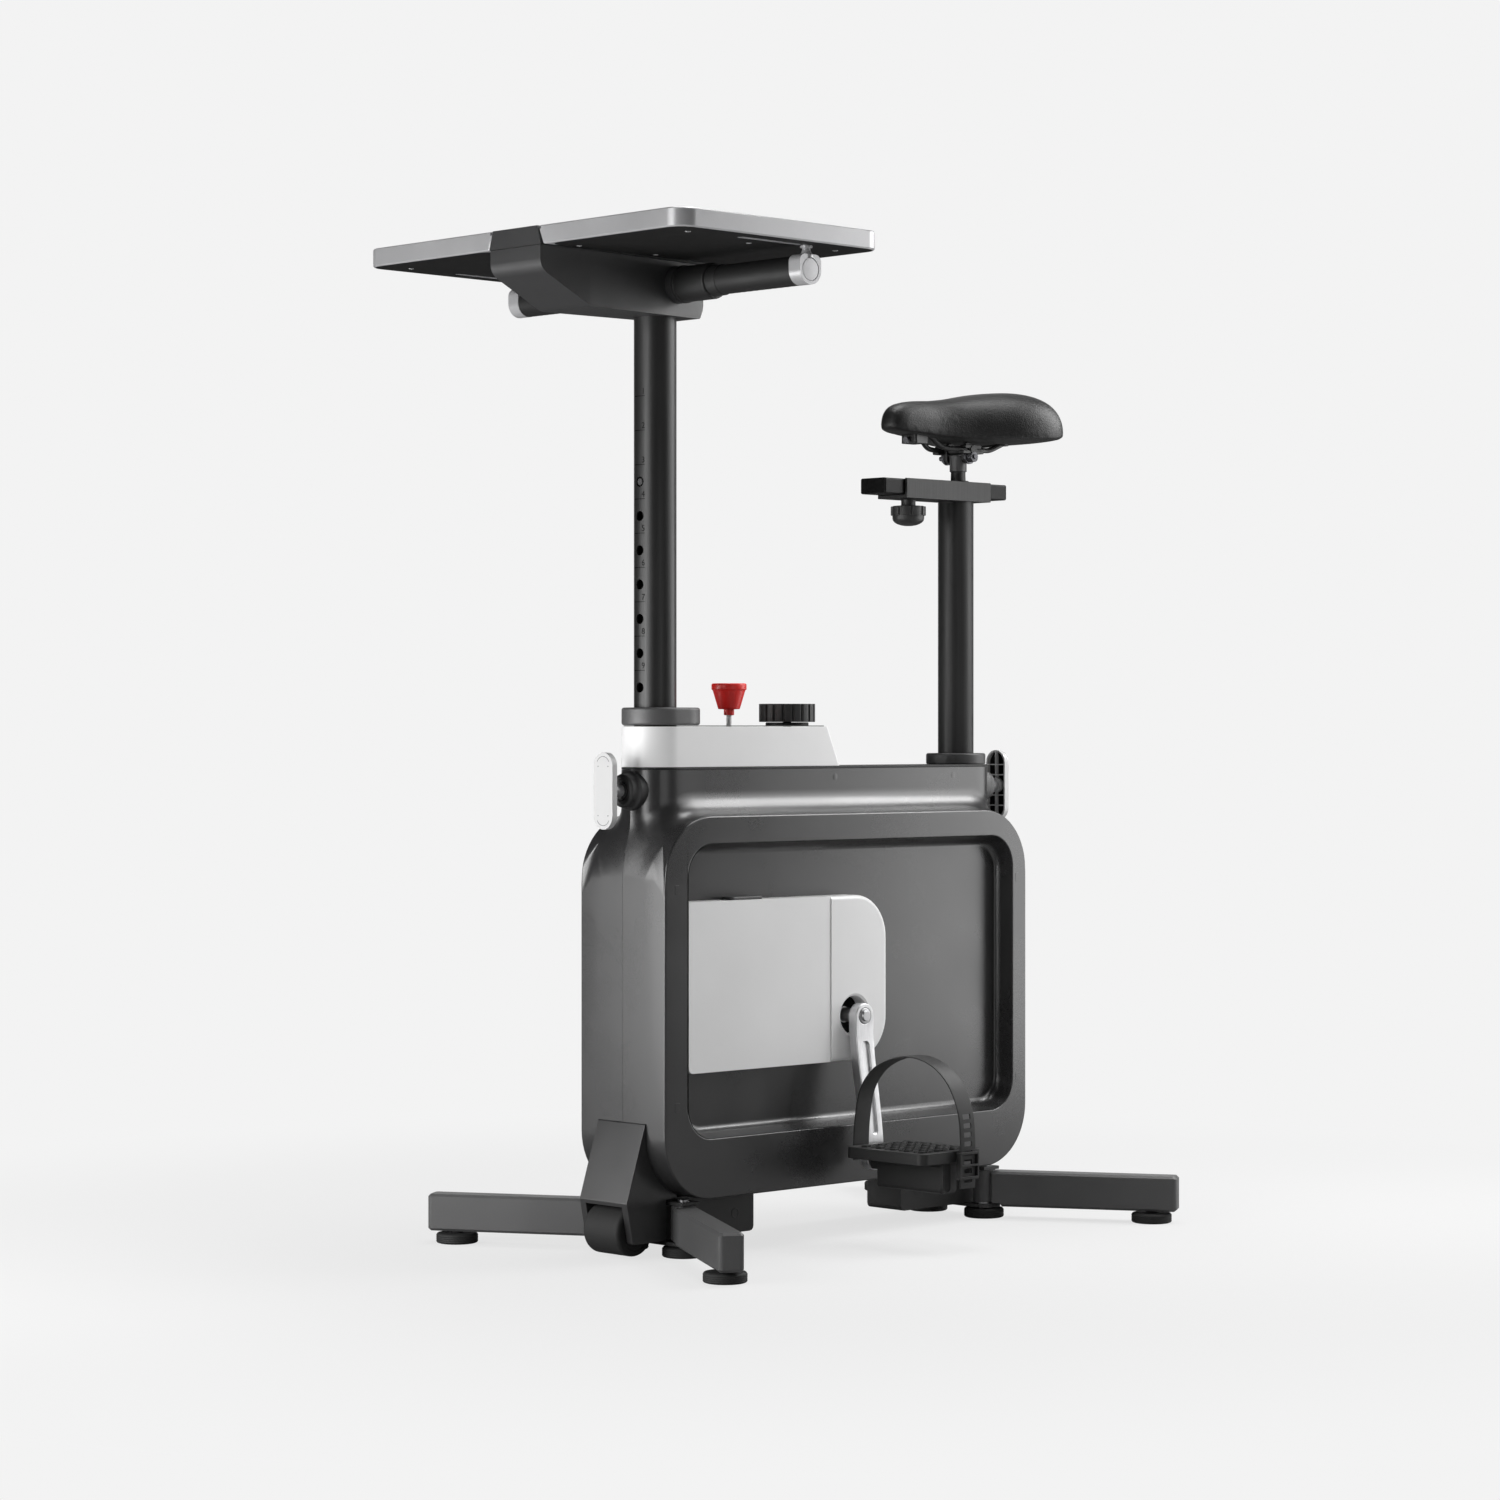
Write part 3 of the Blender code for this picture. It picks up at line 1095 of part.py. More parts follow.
def make_pull_pins(grey, dark):
    """Front and rear pull pins with the collar each one slides in."""
    for end, x, way in (("front", DESK_POST_X, -1), ("rear", SADDLE_POST_X, 1)):
        face = x + way * PIN_PLATE_FACE
        back = face - way * PIN_PLATE_THICKNESS
        half = (PIN_PLATE_HEIGHT - PIN_PLATE_WIDTH) / 2
        outline = arc((0, PIN_HEIGHT - half), PIN_PLATE_WIDTH / 2, 180, 360, 8)
        outline += arc((0, PIN_HEIGHT + half), PIN_PLATE_WIDTH / 2, 0, 180, 8)
        handle = solid(f"pull_pin_{end}", prism(outline, back, face, "X"), grey)
        bevelled(handle, 0.0015)
        radius = DESK_POST_RADIUS if end == "front" else SADDLE_POST_RADIUS
        start = radius + PIN_TIP_GAP
        step = start + PIN_TIP_LENGTH
        end_x = PIN_PLATE_FACE - PIN_PLATE_THICKNESS / 2
        profile = [
            (0, start), (PIN_TIP_RADIUS, start), (PIN_TIP_RADIUS, step), (PIN_ROD_RADIUS, step),
            (PIN_ROD_RADIUS, end_x), (0, end_x),
        ]
        along = [(size, way * reach) for size, reach in profile]
        joined(handle, turned(along, (x, 0, PIN_HEIGHT), "X", 14))
        inner, wide, outer = PIN_ROD_RADIUS + RUNNING_GAP, PIN_FLANGE_RADIUS, PIN_COLLAR_RADIUS
        root, end_x = NECK_HALF_WIDTH - 0.008, PIN_COLLAR_REACH
        profile = [
            (inner, root), (wide, root), (wide, end_x - 0.0115), (outer, end_x - 0.0090),
            (outer, end_x - 0.0020), (outer - 0.0020, end_x), (inner, end_x),
        ]
        along = [(size, way * reach) for size, reach in profile]
        collar = solid(
            f"pin_collar_{end}", turned(along, (x, 0, PIN_HEIGHT), "X", 20, ring=True), dark
        )
        neck_radius = NECK_HALF_WIDTH + 2 * GAP
        cut(collar, bore_form(x, neck_radius, PIN_HEIGHT - wide, PIN_HEIGHT + wide, 28))


# Head, handles and desk

def make_head(plastic):
    side = rounded(
        [
            (HEAD_FRONT, HEAD_TOP, 0), (HEAD_FRONT, HEAD_TOP - HEAD_NOSE_DEPTH, 0.018),
            (HEAD_FRONT + 0.0765, HEAD_BOTTOM, 0.020), (HEAD_REAR - 0.012, HEAD_BOTTOM, 0.004),
            (HEAD_REAR, HEAD_BOTTOM + 0.0224, 0.004), (HEAD_REAR, HEAD_TOP, 0),
        ]
    )
    wide, rear_wide = HEAD_HALF_WIDTH, HEAD_REAR_HALF_WIDTH
    head = solid("head_housing", prism(side, -wide - PAST, wide + PAST, "Y"), plastic)
    front, shoulder, taper = HEAD_FRONT - PAST, HEAD_FRONT + 0.0755, HEAD_REAR - 0.037
    plan = rounded(
        [
            (front, -wide, 0), (shoulder, -wide, 0), (taper, -rear_wide - 0.003, 0),
            (HEAD_REAR, -rear_wide, 0.012), (HEAD_REAR, rear_wide, 0.012),
            (taper, rear_wide + 0.003, 0), (shoulder, wide, 0), (front, wide, 0),
        ], 4,
    )
    crossed(head, prism(plan, HEAD_BOTTOM - PAST, HEAD_TOP + PAST, "Z"))
    bevelled(head, 0.003, 1, 50)
    barrel = bar_form(
        HANDLE_BARREL_RADIUS, HANDLE_ROOT_Y - GAP, (HANDLE_X, 0, HANDLE_Z), "Y", 20
    )
    joined(head, barrel)
    socket = circle((DESK_POST_X, 0), DESK_POST_RADIUS + 2 * GAP, 28)
    cut(head, prism(socket, HEAD_BOTTOM - PAST, DESK_POST_HIGH + GAP, "Z"))


def make_handles(black, silver):
    """Each handle's collar and grip in one piece, and the cap that guides the desk leaf."""
    centre = (HANDLE_X, 0, HANDLE_Z)
    barrel, collar, ring = HANDLE_BARREL_RADIUS, HANDLE_COLLAR_RADIUS, HANDLE_RADIUS + 0.001
    profile = [
        (0, HANDLE_ROOT_Y), (barrel, HANDLE_ROOT_Y), (barrel, HANDLE_ROOT_Y + 0.0025),
        (collar, HANDLE_ROOT_Y + 0.0035), (collar, HANDLE_COLLAR_Y - 0.001),
        (collar - 0.001, HANDLE_COLLAR_Y), (ring, HANDLE_COLLAR_Y + 0.0002),
        (ring, HANDLE_RING_Y - 0.0005), (HANDLE_RADIUS, HANDLE_RING_Y),
        (HANDLE_RADIUS, HANDLE_CAP_Y - GAP), (0, HANDLE_CAP_Y - GAP),
    ]
    along = [(radius, -reach) for radius, reach in profile]
    pair(solid("handle_left", turned(along, centre, "Y", 16), black))
    half = HANDLE_RADIUS
    low, high = half - 0.0005, half - 0.008
    outline = rounded(
        [
            (HANDLE_X - half, HANDLE_Z - half, low), (HANDLE_X + half, HANDLE_Z - half, low),
            (HANDLE_X + half, HANDLE_Z + half, high), (HANDLE_X - half, HANDLE_Z + half, high),
        ], 5,
    )
    cap = solid("handle_cap_left", prism(outline, -HANDLE_CAP_Y, -HANDLE_END_Y, "Y"), silver)
    bevelled(cap, 0.0012)
    root, seat, end = HANDLE_Z + 0.010, DESK_BOTTOM - 2 * GAP, DESK_BOTTOM + SLOT_DEPTH / 2
    neck = turned(
        [
            (0, root), (GUIDE_NECK_RADIUS, root), (GUIDE_NECK_RADIUS, seat - 0.0025),
            (GUIDE_FLANGE_RADIUS, seat - 0.0025), (GUIDE_FLANGE_RADIUS, seat),
            (GUIDE_RADIUS, seat), (GUIDE_RADIUS, end), (0, end),
        ],
        (HANDLE_X, -SLOT_Y, 0), "Z", 10,
    )
    joined(cap, neck)
    dish = circle((HANDLE_X, HANDLE_Z), HANDLE_RADIUS - 0.004, 20)
    cut(cap, prism(dish, -HANDLE_END_Y + 0.0008, -HANDLE_END_Y - PAST, "Y"))
    pair(cap)


def make_desk(black, silver):
    """The desk's spine with its hinge lugs and pins, and the two leaves."""
    section = [
        (-SPINE_LOW_HALF, DESK_BOTTOM), (SPINE_LOW_HALF, DESK_BOTTOM),
        (SPINE_HIGH_HALF, DESK_TOP), (-SPINE_HIGH_HALF, DESK_TOP),
    ]
    spine = solid("desk_spine", prism(section, DESK_FRONT - 0.001, DESK_REAR, "X"), black)
    slanted = [
        (DESK_OUTER_Y, DESK_BOTTOM), (DESK_OUTER_Y, DESK_TOP), (HINGE_Y, DESK_TOP),
        *arc((HINGE_Y, HINGE_Z), HINGE_ROLL, 110, 195, 4),
        (SPINE_LOW_HALF + LEAF_GAP, DESK_BOTTOM),
    ]
    section = [(-y, z) for y, z in slanted]
    leaf = solid("desk_leaf_left", prism(section, DESK_FRONT, DESK_REAR, "X"), silver)
    plan = rounded(
        [
            (DESK_FRONT, -DESK_OUTER_Y, DESK_CORNER), (DESK_REAR, -DESK_OUTER_Y, DESK_CORNER),
            (DESK_REAR, PAST - HINGE_Y, 0), (DESK_FRONT, PAST - HINGE_Y, 0),
        ], 6,
    )
    crossed(leaf, prism(plan, DESK_BOTTOM - PAST, DESK_TOP + PAST, "Z"))
    bevelled(leaf, 0.0015, 1, 60)
    radius, spare = GUIDE_RADIUS + 0.0015, 0.0005
    slot = belt_outline(
        (HANDLE_X - DESK_REACH - spare, -SLOT_Y), radius, (HANDLE_X + spare, -SLOT_Y), radius, 5
    )
    middle = (DESK_FRONT + DESK_REAR) / 2
    length = (DESK_REAR - DESK_FRONT) / 2
    cut(
        leaf,
        prism(slot, DESK_BOTTOM - PAST, DESK_BOTTOM + SLOT_DEPTH, "Z"),
        bar_form(
            HINGE_PIN_RADIUS + RUNNING_GAP, length + PAST, (middle, -HINGE_Y, HINGE_Z), "X", 8
        ),
    )
    for x in (FRONT_LUG_X, REAR_LUG_X):
        notch = rectangle(
            x - spare, x + LUG_LENGTH + spare, -HINGE_Y - HINGE_ROLL - 0.0017, PAST - HINGE_Y
        )
        cut(leaf, prism(notch, HINGE_Z - HINGE_ROLL - 0.0034, DESK_TOP + PAST, "Z"))
    joined(leaf, bar_form(ROD_RADIUS, length - 0.002, (middle, -ROD_Y, ROD_Z), "X", 10))
    pair(leaf)
    for side in (-1, 1):
        for x in (FRONT_LUG_X, REAR_LUG_X):
            ends = sorted((side * (SPINE_HIGH_HALF - 0.0042), side * (HINGE_Y + 0.0026)))
            low, high = HINGE_Z - LUG_HALF_HEIGHT, HINGE_Z + LUG_HALF_HEIGHT
            lug = rectangle(*ends, low, high, LUG_HALF_HEIGHT / 2, 2)
            joined(spine, prism(lug, x, x + LUG_LENGTH, "X"))
        pin = bar_form(HINGE_PIN_RADIUS, length - 0.004, (middle, side * HINGE_Y, HINGE_Z), "X", 8)
        joined(spine, pin)


# Saddle

def make_slider(black):
    """Channel welded to the saddle post, the bar that slides in it and its lock knob."""
    post = bpy.data.objects["saddle_post"]
    wide, inner = SLEEVE_HALF_WIDTH, SLEEVE_HALF_WIDTH - SLEEVE_WALL
    floor = SLEEVE_FLOOR
    section = [
        (-wide, SLEEVE_BOTTOM), (wide, SLEEVE_BOTTOM), (wide, SLEEVE_TOP), (inner, SLEEVE_TOP),
        (inner, floor), (-inner, floor), (-inner, SLEEVE_TOP), (-wide, SLEEVE_TOP),
    ]
    joined(post, prism(section, SLEEVE_FRONT, SLEEVE_REAR, "X"))
    cut(post, bore_form(LOCK_KNOB_X, LOCK_STEM_RADIUS + GAP, SLEEVE_BOTTOM, floor - 0.005, 16))
    half = inner - SLIDE_GAP
    section = rectangle(-half, half, floor + SLIDE_GAP, SLIDER_TOP, 0.003, 2)
    bar = solid("saddle_slider", prism(section, SLIDER_FRONT, SLIDER_REAR, "X"), black)
    bevelled(bar, 0.0015, 1)
    flange_top, sleeve_low = SLIDER_TOP + 0.003, SLIDER_TOP + 0.0153
    stub = turned(
        [
            (0, SLIDER_TOP - 0.002), (STUB_FLANGE_RADIUS, SLIDER_TOP - 0.002),
            (STUB_FLANGE_RADIUS, flange_top), (STUB_RADIUS, flange_top),
            (STUB_RADIUS, sleeve_low), (STUB_SLEEVE_RADIUS, sleeve_low),
            (STUB_SLEEVE_RADIUS, STUB_TOP), (0, STUB_TOP),
        ],
        (STUB_X, 0, 0), "Z", 16,
    )
    joined(bar, stub)
    make_lock_knob(black)


def make_lock_knob(black):
    """Lobed knob below the channel, with the stem that goes through the channel's floor."""
    wide, high = LOCK_KNOB_RADIUS, SLEEVE_BOTTOM - LOCK_KNOB_DROP
    low = high - LOCK_KNOB_HEIGHT
    neck_top, stem_top = SLEEVE_BOTTOM - 0.0005, SLEEVE_FLOOR - 0.0002
    profile = [
        (0, low), (wide - 0.010, low + 0.0004), (wide - 0.003, low + 0.0030),
        (wide, low + 0.0070), (wide, high - 0.0023), (wide - 0.002, high - 0.0003),
        (0.009, high), (0.009, neck_top), (LOCK_STEM_RADIUS, neck_top),
        (LOCK_STEM_RADIUS, stem_top), (0, stem_top),
    ]
    knob = solid("lock_knob", turned(profile, (LOCK_KNOB_X, 0, 0), "Z", 14), black)
    reach = wide + LOCK_LOBE_RADIUS / 2
    for step in range(LOCK_LOBES):
        angle = 2 * math.pi * (step + 0.5) / LOCK_LOBES
        centre = (LOCK_KNOB_X + reach * math.cos(angle), reach * math.sin(angle))
        cut(knob, prism(circle(centre, LOCK_LOBE_RADIUS, 10), low - PAST, high - 0.0001, "Z"))


def cushion_ring(station, points=22):
    behind, half_width, top, low = station
    top, low = CLAMP_Z + top, CLAMP_Z + low
    middle = low + (top - low) * SADDLE_EDGE_SHARE
    ring = []
    for step in range(points):
        angle = 2 * math.pi * step / points
        across, up = math.cos(angle), math.sin(angle)
        y = half_width * math.copysign(abs(across) ** 0.72, across)
        if up >= 0:
            z = middle + (top - middle) * up**0.85
        else:
            z = middle - (middle - low) * abs(up) ** 0.55
        ring.append((SADDLE_FRONT + behind, y, z))
    return ring


def cushion_low(behind):
    """Height of the cushion's underside above the rails, at a distance behind its nose."""
    for first, second in zip(SADDLE_STATIONS, SADDLE_STATIONS[1:]):
        if behind <= second[0]:
            part = (behind - first[0]) / (second[0] - first[0])
            return first[3] + (second[3] - first[3]) * part
    return SADDLE_STATIONS[-1][3]


def make_saddle(vinyl, plastic, steel):
    """Clamp and rails, the moulded shell and the padded cushion on it."""
    solid("saddle_cushion", loft([cushion_ring(station) for station in SADDLE_STATIONS]), vinyl)
    rings = []
    for behind, half_width, _, low in SADDLE_STATIONS[3:12]:
        x, wide = SADDLE_FRONT + behind, half_width * SHELL_SHARE
        high = CLAMP_Z + low - GAP
        low, narrow = high - SHELL_THICKNESS, wide - 0.003
        rings.append([(x, -wide, high), (x, wide, high), (x, narrow, low), (x, -narrow, low)])
    solid("saddle_shell", loft(rings), plastic)
    clamp = bar_form(CLAMP_RADIUS, CLAMP_HALF_WIDTH, (STUB_X, 0, CLAMP_Z), "Y", 14)
    frame = solid("saddle_rails", clamp, steel)
    for side in (-1, 1):
        rings = []
        for behind, across in (
            (0.026, 0.010), (0.060, 0.013), (0.105, 0.0215), (0.175, 0.0215), (0.215, 0.034),
        ):
            section = arc((side * across, CLAMP_Z), RAIL_RADIUS, 0, 315, 7)
            rings.append([(SADDLE_FRONT + behind, y, z) for y, z in section])
        joined(frame, loft(rings))
    for behind, across in ((0.028, 0.013), (0.208, 0.037)):
        x = SADDLE_FRONT + behind
        seat = CLAMP_Z + cushion_low(behind) - SHELL_THICKNESS - 2 * GAP
        strip = rectangle(x - 0.004, x + 0.004, -across, across)
        joined(frame, prism(strip, CLAMP_Z - 0.0015, seat, "Z"))


def place_origins():
    """Puts the origin of each moving piece on the axis it moves about."""
    pedal_z = CRANK_Z - CRANK_LENGTH
    centres = {
        "crank_left": (CRANK_X, 0, CRANK_Z),
        "crank_right": (CRANK_X, 0, CRANK_Z),
        "crank_spindle": (CRANK_X, 0, CRANK_Z),
        "flywheel": (FLYWHEEL_X, FLYWHEEL_Y, FLYWHEEL_Z),
        "transport_wheel": (WHEEL_X, 0, WHEEL_Z),
        "desk_leaf_left": (DESK_POST_X, -HINGE_Y, HINGE_Z),
        "desk_leaf_right": (DESK_POST_X, HINGE_Y, HINGE_Z),
        "tension_knob": (TENSION_KNOB_X, 0, TENSION_BASE_TOP),
        "red_knob": (RED_KNOB_X, 0, CONSOLE_TOP),
        "lock_knob": (LOCK_KNOB_X, 0, SLEEVE_BOTTOM),
        "saddle_rails": (STUB_X, 0, CLAMP_Z),
        "saddle_shell": (STUB_X, 0, CLAMP_Z),
        "saddle_cushion": (STUB_X, 0, CLAMP_Z),
        "saddle_slider": (STUB_X, 0, SLIDER_TOP),
        "pull_pin_front": (DESK_POST_X, 0, PIN_HEIGHT),
        "pull_pin_rear": (SADDLE_POST_X, 0, PIN_HEIGHT),
        "desk_post": (DESK_POST_X, 0, 0),
        "saddle_post": (SADDLE_POST_X, 0, 0),
    }
    for side, y, drop in (("left", -1, pedal_z), ("right", 1, CRANK_Z + CRANK_LENGTH)):
        for piece in ("pedal", "pedal_weight", "toe_strap"):
            centres[f"{piece}_{side}"] = (CRANK_X, y * PEDAL_INNER_Y, drop)
        for end, post_x in (("front", DESK_POST_X), ("rear", SADDLE_POST_X)):
            for piece in ("leg", "pad"):
                centres[f"{piece}_{end}_{side}"] = (post_x, y * LEG_PIVOT_Y, 0)
    for name, centre in centres.items():
        thing = bpy.data.objects[name]
        thing.data.transform(Matrix.Translation(-Vector(centre)))
        thing.location = centre


def shade(thing):
    for face in thing.data.polygons:
        face.use_smooth = True
    thing.data.set_sharp_from_angle(angle=math.radians(32))


def main():
    clear_scene()
    body_grey = make_material("body_grey", (0.075, 0.077, 0.080), 0.45, 0.2)
    dark_grey = make_material("dark_grey", (0.045, 0.046, 0.048), 0.5)
    white_gloss = make_material("white_gloss", (0.72, 0.72, 0.72), 0.3)
    black = make_material("black_plastic", (0.020, 0.020, 0.021), 0.55)
    rubber = make_material("black_rubber", (0.018, 0.018, 0.018), 0.8)
    post_paint = make_material("post_paint", (0.018, 0.018, 0.019), 0.42, 0.3)
    steel = make_material("steel", (0.55, 0.55, 0.56), 0.3, 1.0)
    alloy = make_material("alloy", (0.60, 0.60, 0.61), 0.35, 1.0)
    iron = make_material("cast_iron", (0.18, 0.18, 0.19), 0.5, 1.0)
    silver = make_material("silver", (0.52, 0.52, 0.53), 0.35, 0.6)
    red = make_material("red_plastic", (0.45, 0.010, 0.012), 0.35)
    vinyl = make_material("saddle_vinyl", (0.020, 0.020, 0.021), 0.5)
    make_shells(body_grey)
    make_inner_frame(steel)
    make_neck_plate(black)
    make_console(white_gloss, black)
    make_collars(dark_grey)
    make_knobs(red, black)
    make_drive_covers(white_gloss)
    make_cranks(alloy, steel)
    make_belt_drive(iron, rubber)
    make_pedals(black, dark_grey, rubber)
    make_legs(body_grey, rubber)
    make_keels(black, rubber)
    make_wheel(body_grey, rubber)
    make_posts(post_paint)
    make_pull_pins(silver, black)
    make_head(dark_grey)
    make_handles(black, silver)
    make_desk(dark_grey, silver)
    make_slider(black)
    make_saddle(vinyl, black, steel)
    place_origins()
    for thing in bpy.data.objects:
        shade(thing)


if __name__ == "__main__":
    main()
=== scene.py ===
"""Looks of a folding exercise bike with a desk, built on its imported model.

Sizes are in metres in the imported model's frame. X runs from the desk end to the saddle
end, the rider's left side is at negative Y, and Z is up. A piece that comes in pairs is
made on the left side and mirrored.
"""

import math

import bmesh
import bpy
from mathutils import Matrix, Vector


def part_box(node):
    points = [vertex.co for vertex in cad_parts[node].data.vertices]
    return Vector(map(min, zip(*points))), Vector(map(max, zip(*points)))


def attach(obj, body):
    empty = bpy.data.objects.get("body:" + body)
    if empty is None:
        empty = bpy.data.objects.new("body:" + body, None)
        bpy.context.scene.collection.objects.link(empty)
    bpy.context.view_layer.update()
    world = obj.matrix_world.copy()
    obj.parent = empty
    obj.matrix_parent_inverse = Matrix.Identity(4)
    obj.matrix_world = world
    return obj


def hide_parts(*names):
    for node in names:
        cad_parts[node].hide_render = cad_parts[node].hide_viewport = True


bl_info = {
    "name": "Folding exercise bike",
    "version": (1, 0, 0),
    "blender": (4, 5, 0),
    "location": "View3D > Sidebar > Bike",
    "description": "Dresses the packed model of a folding exercise bike with a desk",
    "category": "Object",
}

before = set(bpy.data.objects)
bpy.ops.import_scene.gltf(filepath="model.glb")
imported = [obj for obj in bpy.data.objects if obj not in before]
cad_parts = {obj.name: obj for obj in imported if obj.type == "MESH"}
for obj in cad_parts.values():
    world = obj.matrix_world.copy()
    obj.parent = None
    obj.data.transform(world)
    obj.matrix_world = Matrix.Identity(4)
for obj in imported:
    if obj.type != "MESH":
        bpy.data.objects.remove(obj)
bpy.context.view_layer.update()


def middle(node):
    """Centre of a CAD node's box."""
    low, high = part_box(node)
    return (low + high) / 2


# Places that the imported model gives
DESK_X = middle("desk_post").x
SADDLE_X = middle("saddle_post_collar").x
CRANK_X, CRANK_Z = middle("crank_spindle").x, middle("crank_spindle").z
PIN_Z = middle("pin_collar_front").z
WHEEL = middle("transport_wheel")
RED_X = middle("red_knob").x
TENSION_X = middle("tension_knob").x
LOCK_X = middle("lock_knob").x
BODY_HALF = -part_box("frame_shell_left")[0].y
BODY_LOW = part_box("frame_shell_left")[0].z
BODY_TOP = 0.5114
NECK_HALF = -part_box("neck_plate")[0].y
NECK_TOP = 0.565
OVERHANG = 0.052
CORNER = 0.075
SPACING = SADDLE_X - DESK_X
CRANK_LENGTH = 0.170
CRANK = (CRANK_X, 0, CRANK_Z)
LEG_Y = -0.048
LEG_SPREAD = math.radians(59.2)
HOLE_PITCH = 0.040
DESK_RADIUS = 0.025
SADDLE_RADIUS = 0.0225
COLLAR_BORE = 0.0254
NECK_FACE = 0.5683
RECESS_Y = 0.0473
VIEW_WAY = (0.699, 0.715, 0.0)
HANDLE_X, HANDLE_Z = middle("handle_left").x, middle("handle_left").z
SEAM = 0.0003


# Shader nodes

class Value:
    """A socket in a material. Sums and products of it add Math nodes."""

    def __init__(self, finish, socket):
        self.finish = finish
        self.socket = socket

    def math(self, operation, other=0.0, swapped=False):
        first, second = (other, self) if swapped else (self, other)
        return self.finish.node("ShaderNodeMath", {"operation": operation}, {0: first, 1: second})

    def __add__(self, other):
        return self.math("ADD", other)

    def __sub__(self, other):
        return self.math("SUBTRACT", other)

    def __rsub__(self, other):
        return self.math("SUBTRACT", other, True)

    def __mul__(self, other):
        return self.math("MULTIPLY", other)

    def __truediv__(self, other):
        return self.math("DIVIDE", other)

    def __pow__(self, other):
        return self.math("POWER", other)

    __radd__ = __add__
    __rmul__ = __mul__

    def between(self, low, high):
        """0 below low, 1 above high, and smooth between them."""
        return self.finish.node(
            "ShaderNodeMapRange",
            {"interpolation_type": "SMOOTHSTEP"},
            {"Value": self, "From Min": low, "From Max": high},
        )


class Finish:
    """One material and the nodes that make it."""

    def __init__(self, name, **fixed):
        self.material = bpy.data.materials.new(name)
        self.material.use_nodes = True
        self.tree = self.material.node_tree
        self.shader = self.tree.nodes["Principled BSDF"]
        for socket, value in fixed.items():
            self.set(socket.replace("_", " "), value)

    def node(self, kind, settings=None, inputs=None, output=0):
        """Adds a node, with its settings first and then the values or links of its sockets."""
        made = self.tree.nodes.new(kind)
        for key, value in (settings or {}).items():
            if key == "stops":
                self.fill_ramp(made.color_ramp, value)
            else:
                setattr(made, key, value)
        for key, value in (inputs or {}).items():
            if isinstance(value, Value):
                self.tree.links.new(value.socket, made.inputs[key])
            else:
                made.inputs[key].default_value = value
        return Value(self, made.outputs[output])

    def fill_ramp(self, ramp, stops):
        while len(ramp.elements) < len(stops):
            ramp.elements.new(1.0)
        for element, (place, colour) in zip(ramp.elements, stops):
            element.position = place
            element.color = (*colour, 1.0)

    def set(self, socket, value):
        if isinstance(value, Value):
            self.tree.links.new(value.socket, self.shader.inputs[socket])
        else:
            self.shader.inputs[socket].default_value = value

    def place(self, output="Object"):
        return self.node("ShaderNodeTexCoord", {}, {}, output)

    def noise(self, scale, detail=3.0, stretch=(1.0, 1.0, 1.0), roughness=0.5):
        where = self.node("ShaderNodeMapping", {}, {"Vector": self.place(), "Scale": stretch})
        return self.node(
            "ShaderNodeTexNoise",
            {},
            {"Vector": where, "Scale": scale, "Detail": detail, "Roughness": roughness},
        )

    def cells(self, scale, feature="F1", output="Distance"):
        return self.node(
            "ShaderNodeTexVoronoi",
            {"feature": feature},
            {"Vector": self.place(), "Scale": scale},
            output,
        )

    def blend(self, mask, low, high):
        """A colour that runs from low to high as the mask goes from 0 to 1."""
        return self.node(
            "ShaderNodeMix", {"data_type": "RGBA"}, {0: mask, 6: low, 7: high}, 2
        )

    def emboss(self, height, depth, strength=1.0):
        bump = self.node(
            "ShaderNodeBump", {}, {"Height": height, "Strength": strength, "Distance": depth}
        )
        self.set("Normal", bump)


def shade_of(colour, factor):
    return (*[min(channel * factor, 1.0) for channel in colour], 1.0)


def painted(name, colour, grain=900.0, depth=0.00010, rough=0.40, spread=0.05, **fixed):
    """Satin paint: fine orange peel, faint smudges and a little variation in tone."""
    finish = Finish(name, **fixed)
    smudge = finish.noise(9.0, 4.0).between(0.35, 0.70)
    speck = finish.noise(grain * 1.7, 2.0).between(0.40, 0.62)
    tone = smudge * 0.45 + speck * 0.55
    finish.set("Base Color", finish.blend(tone, shade_of(colour, 0.90), shade_of(colour, 1.10)))
    finish.set("Roughness", (smudge - 0.5) * spread + (speck - 0.5) * 0.04 + rough)
    finish.emboss(finish.noise(grain, 3.0), depth, 0.5)
    return finish.material


def moulded(name, colour, grain=1300.0, depth=0.00012, rough=0.48, **fixed):
    """Moulded plastic with a spark-eroded grain, a shade paler where hands rub it."""
    finish = Finish(name, **fixed)
    rubbed = finish.noise(14.0, 3.0).between(0.45, 0.75)
    pits = finish.cells(grain).between(0.05, 0.75)
    finish.set("Base Color", finish.blend(
        rubbed * 0.6 + pits * 0.4, shade_of(colour, 0.90), shade_of(colour, 1.18)
    ))
    finish.set("Roughness", rough - rubbed * 0.07 + pits * 0.05)
    finish.emboss(pits, depth, 0.45)
    return finish.material


def glossy(name, colour, rough=0.24, **fixed):
    """Glossy moulding with faint flow waves and a few hairline scuffs."""
    finish = Finish(name, **fixed)
    waves = finish.noise(38.0, 2.0)
    scuff = finish.noise(60.0, 5.0, (1.0, 9.0, 0.6), 0.7).between(0.62, 0.78)
    haze = finish.noise(7.0, 3.0).between(0.3, 0.8)
    finish.set("Base Color", finish.blend(haze, shade_of(colour, 0.975), shade_of(colour, 1.02)))
    finish.set("Roughness", haze * 0.06 + scuff * 0.10 + rough)
    finish.emboss(waves, 0.00025, 0.25)
    return finish.material


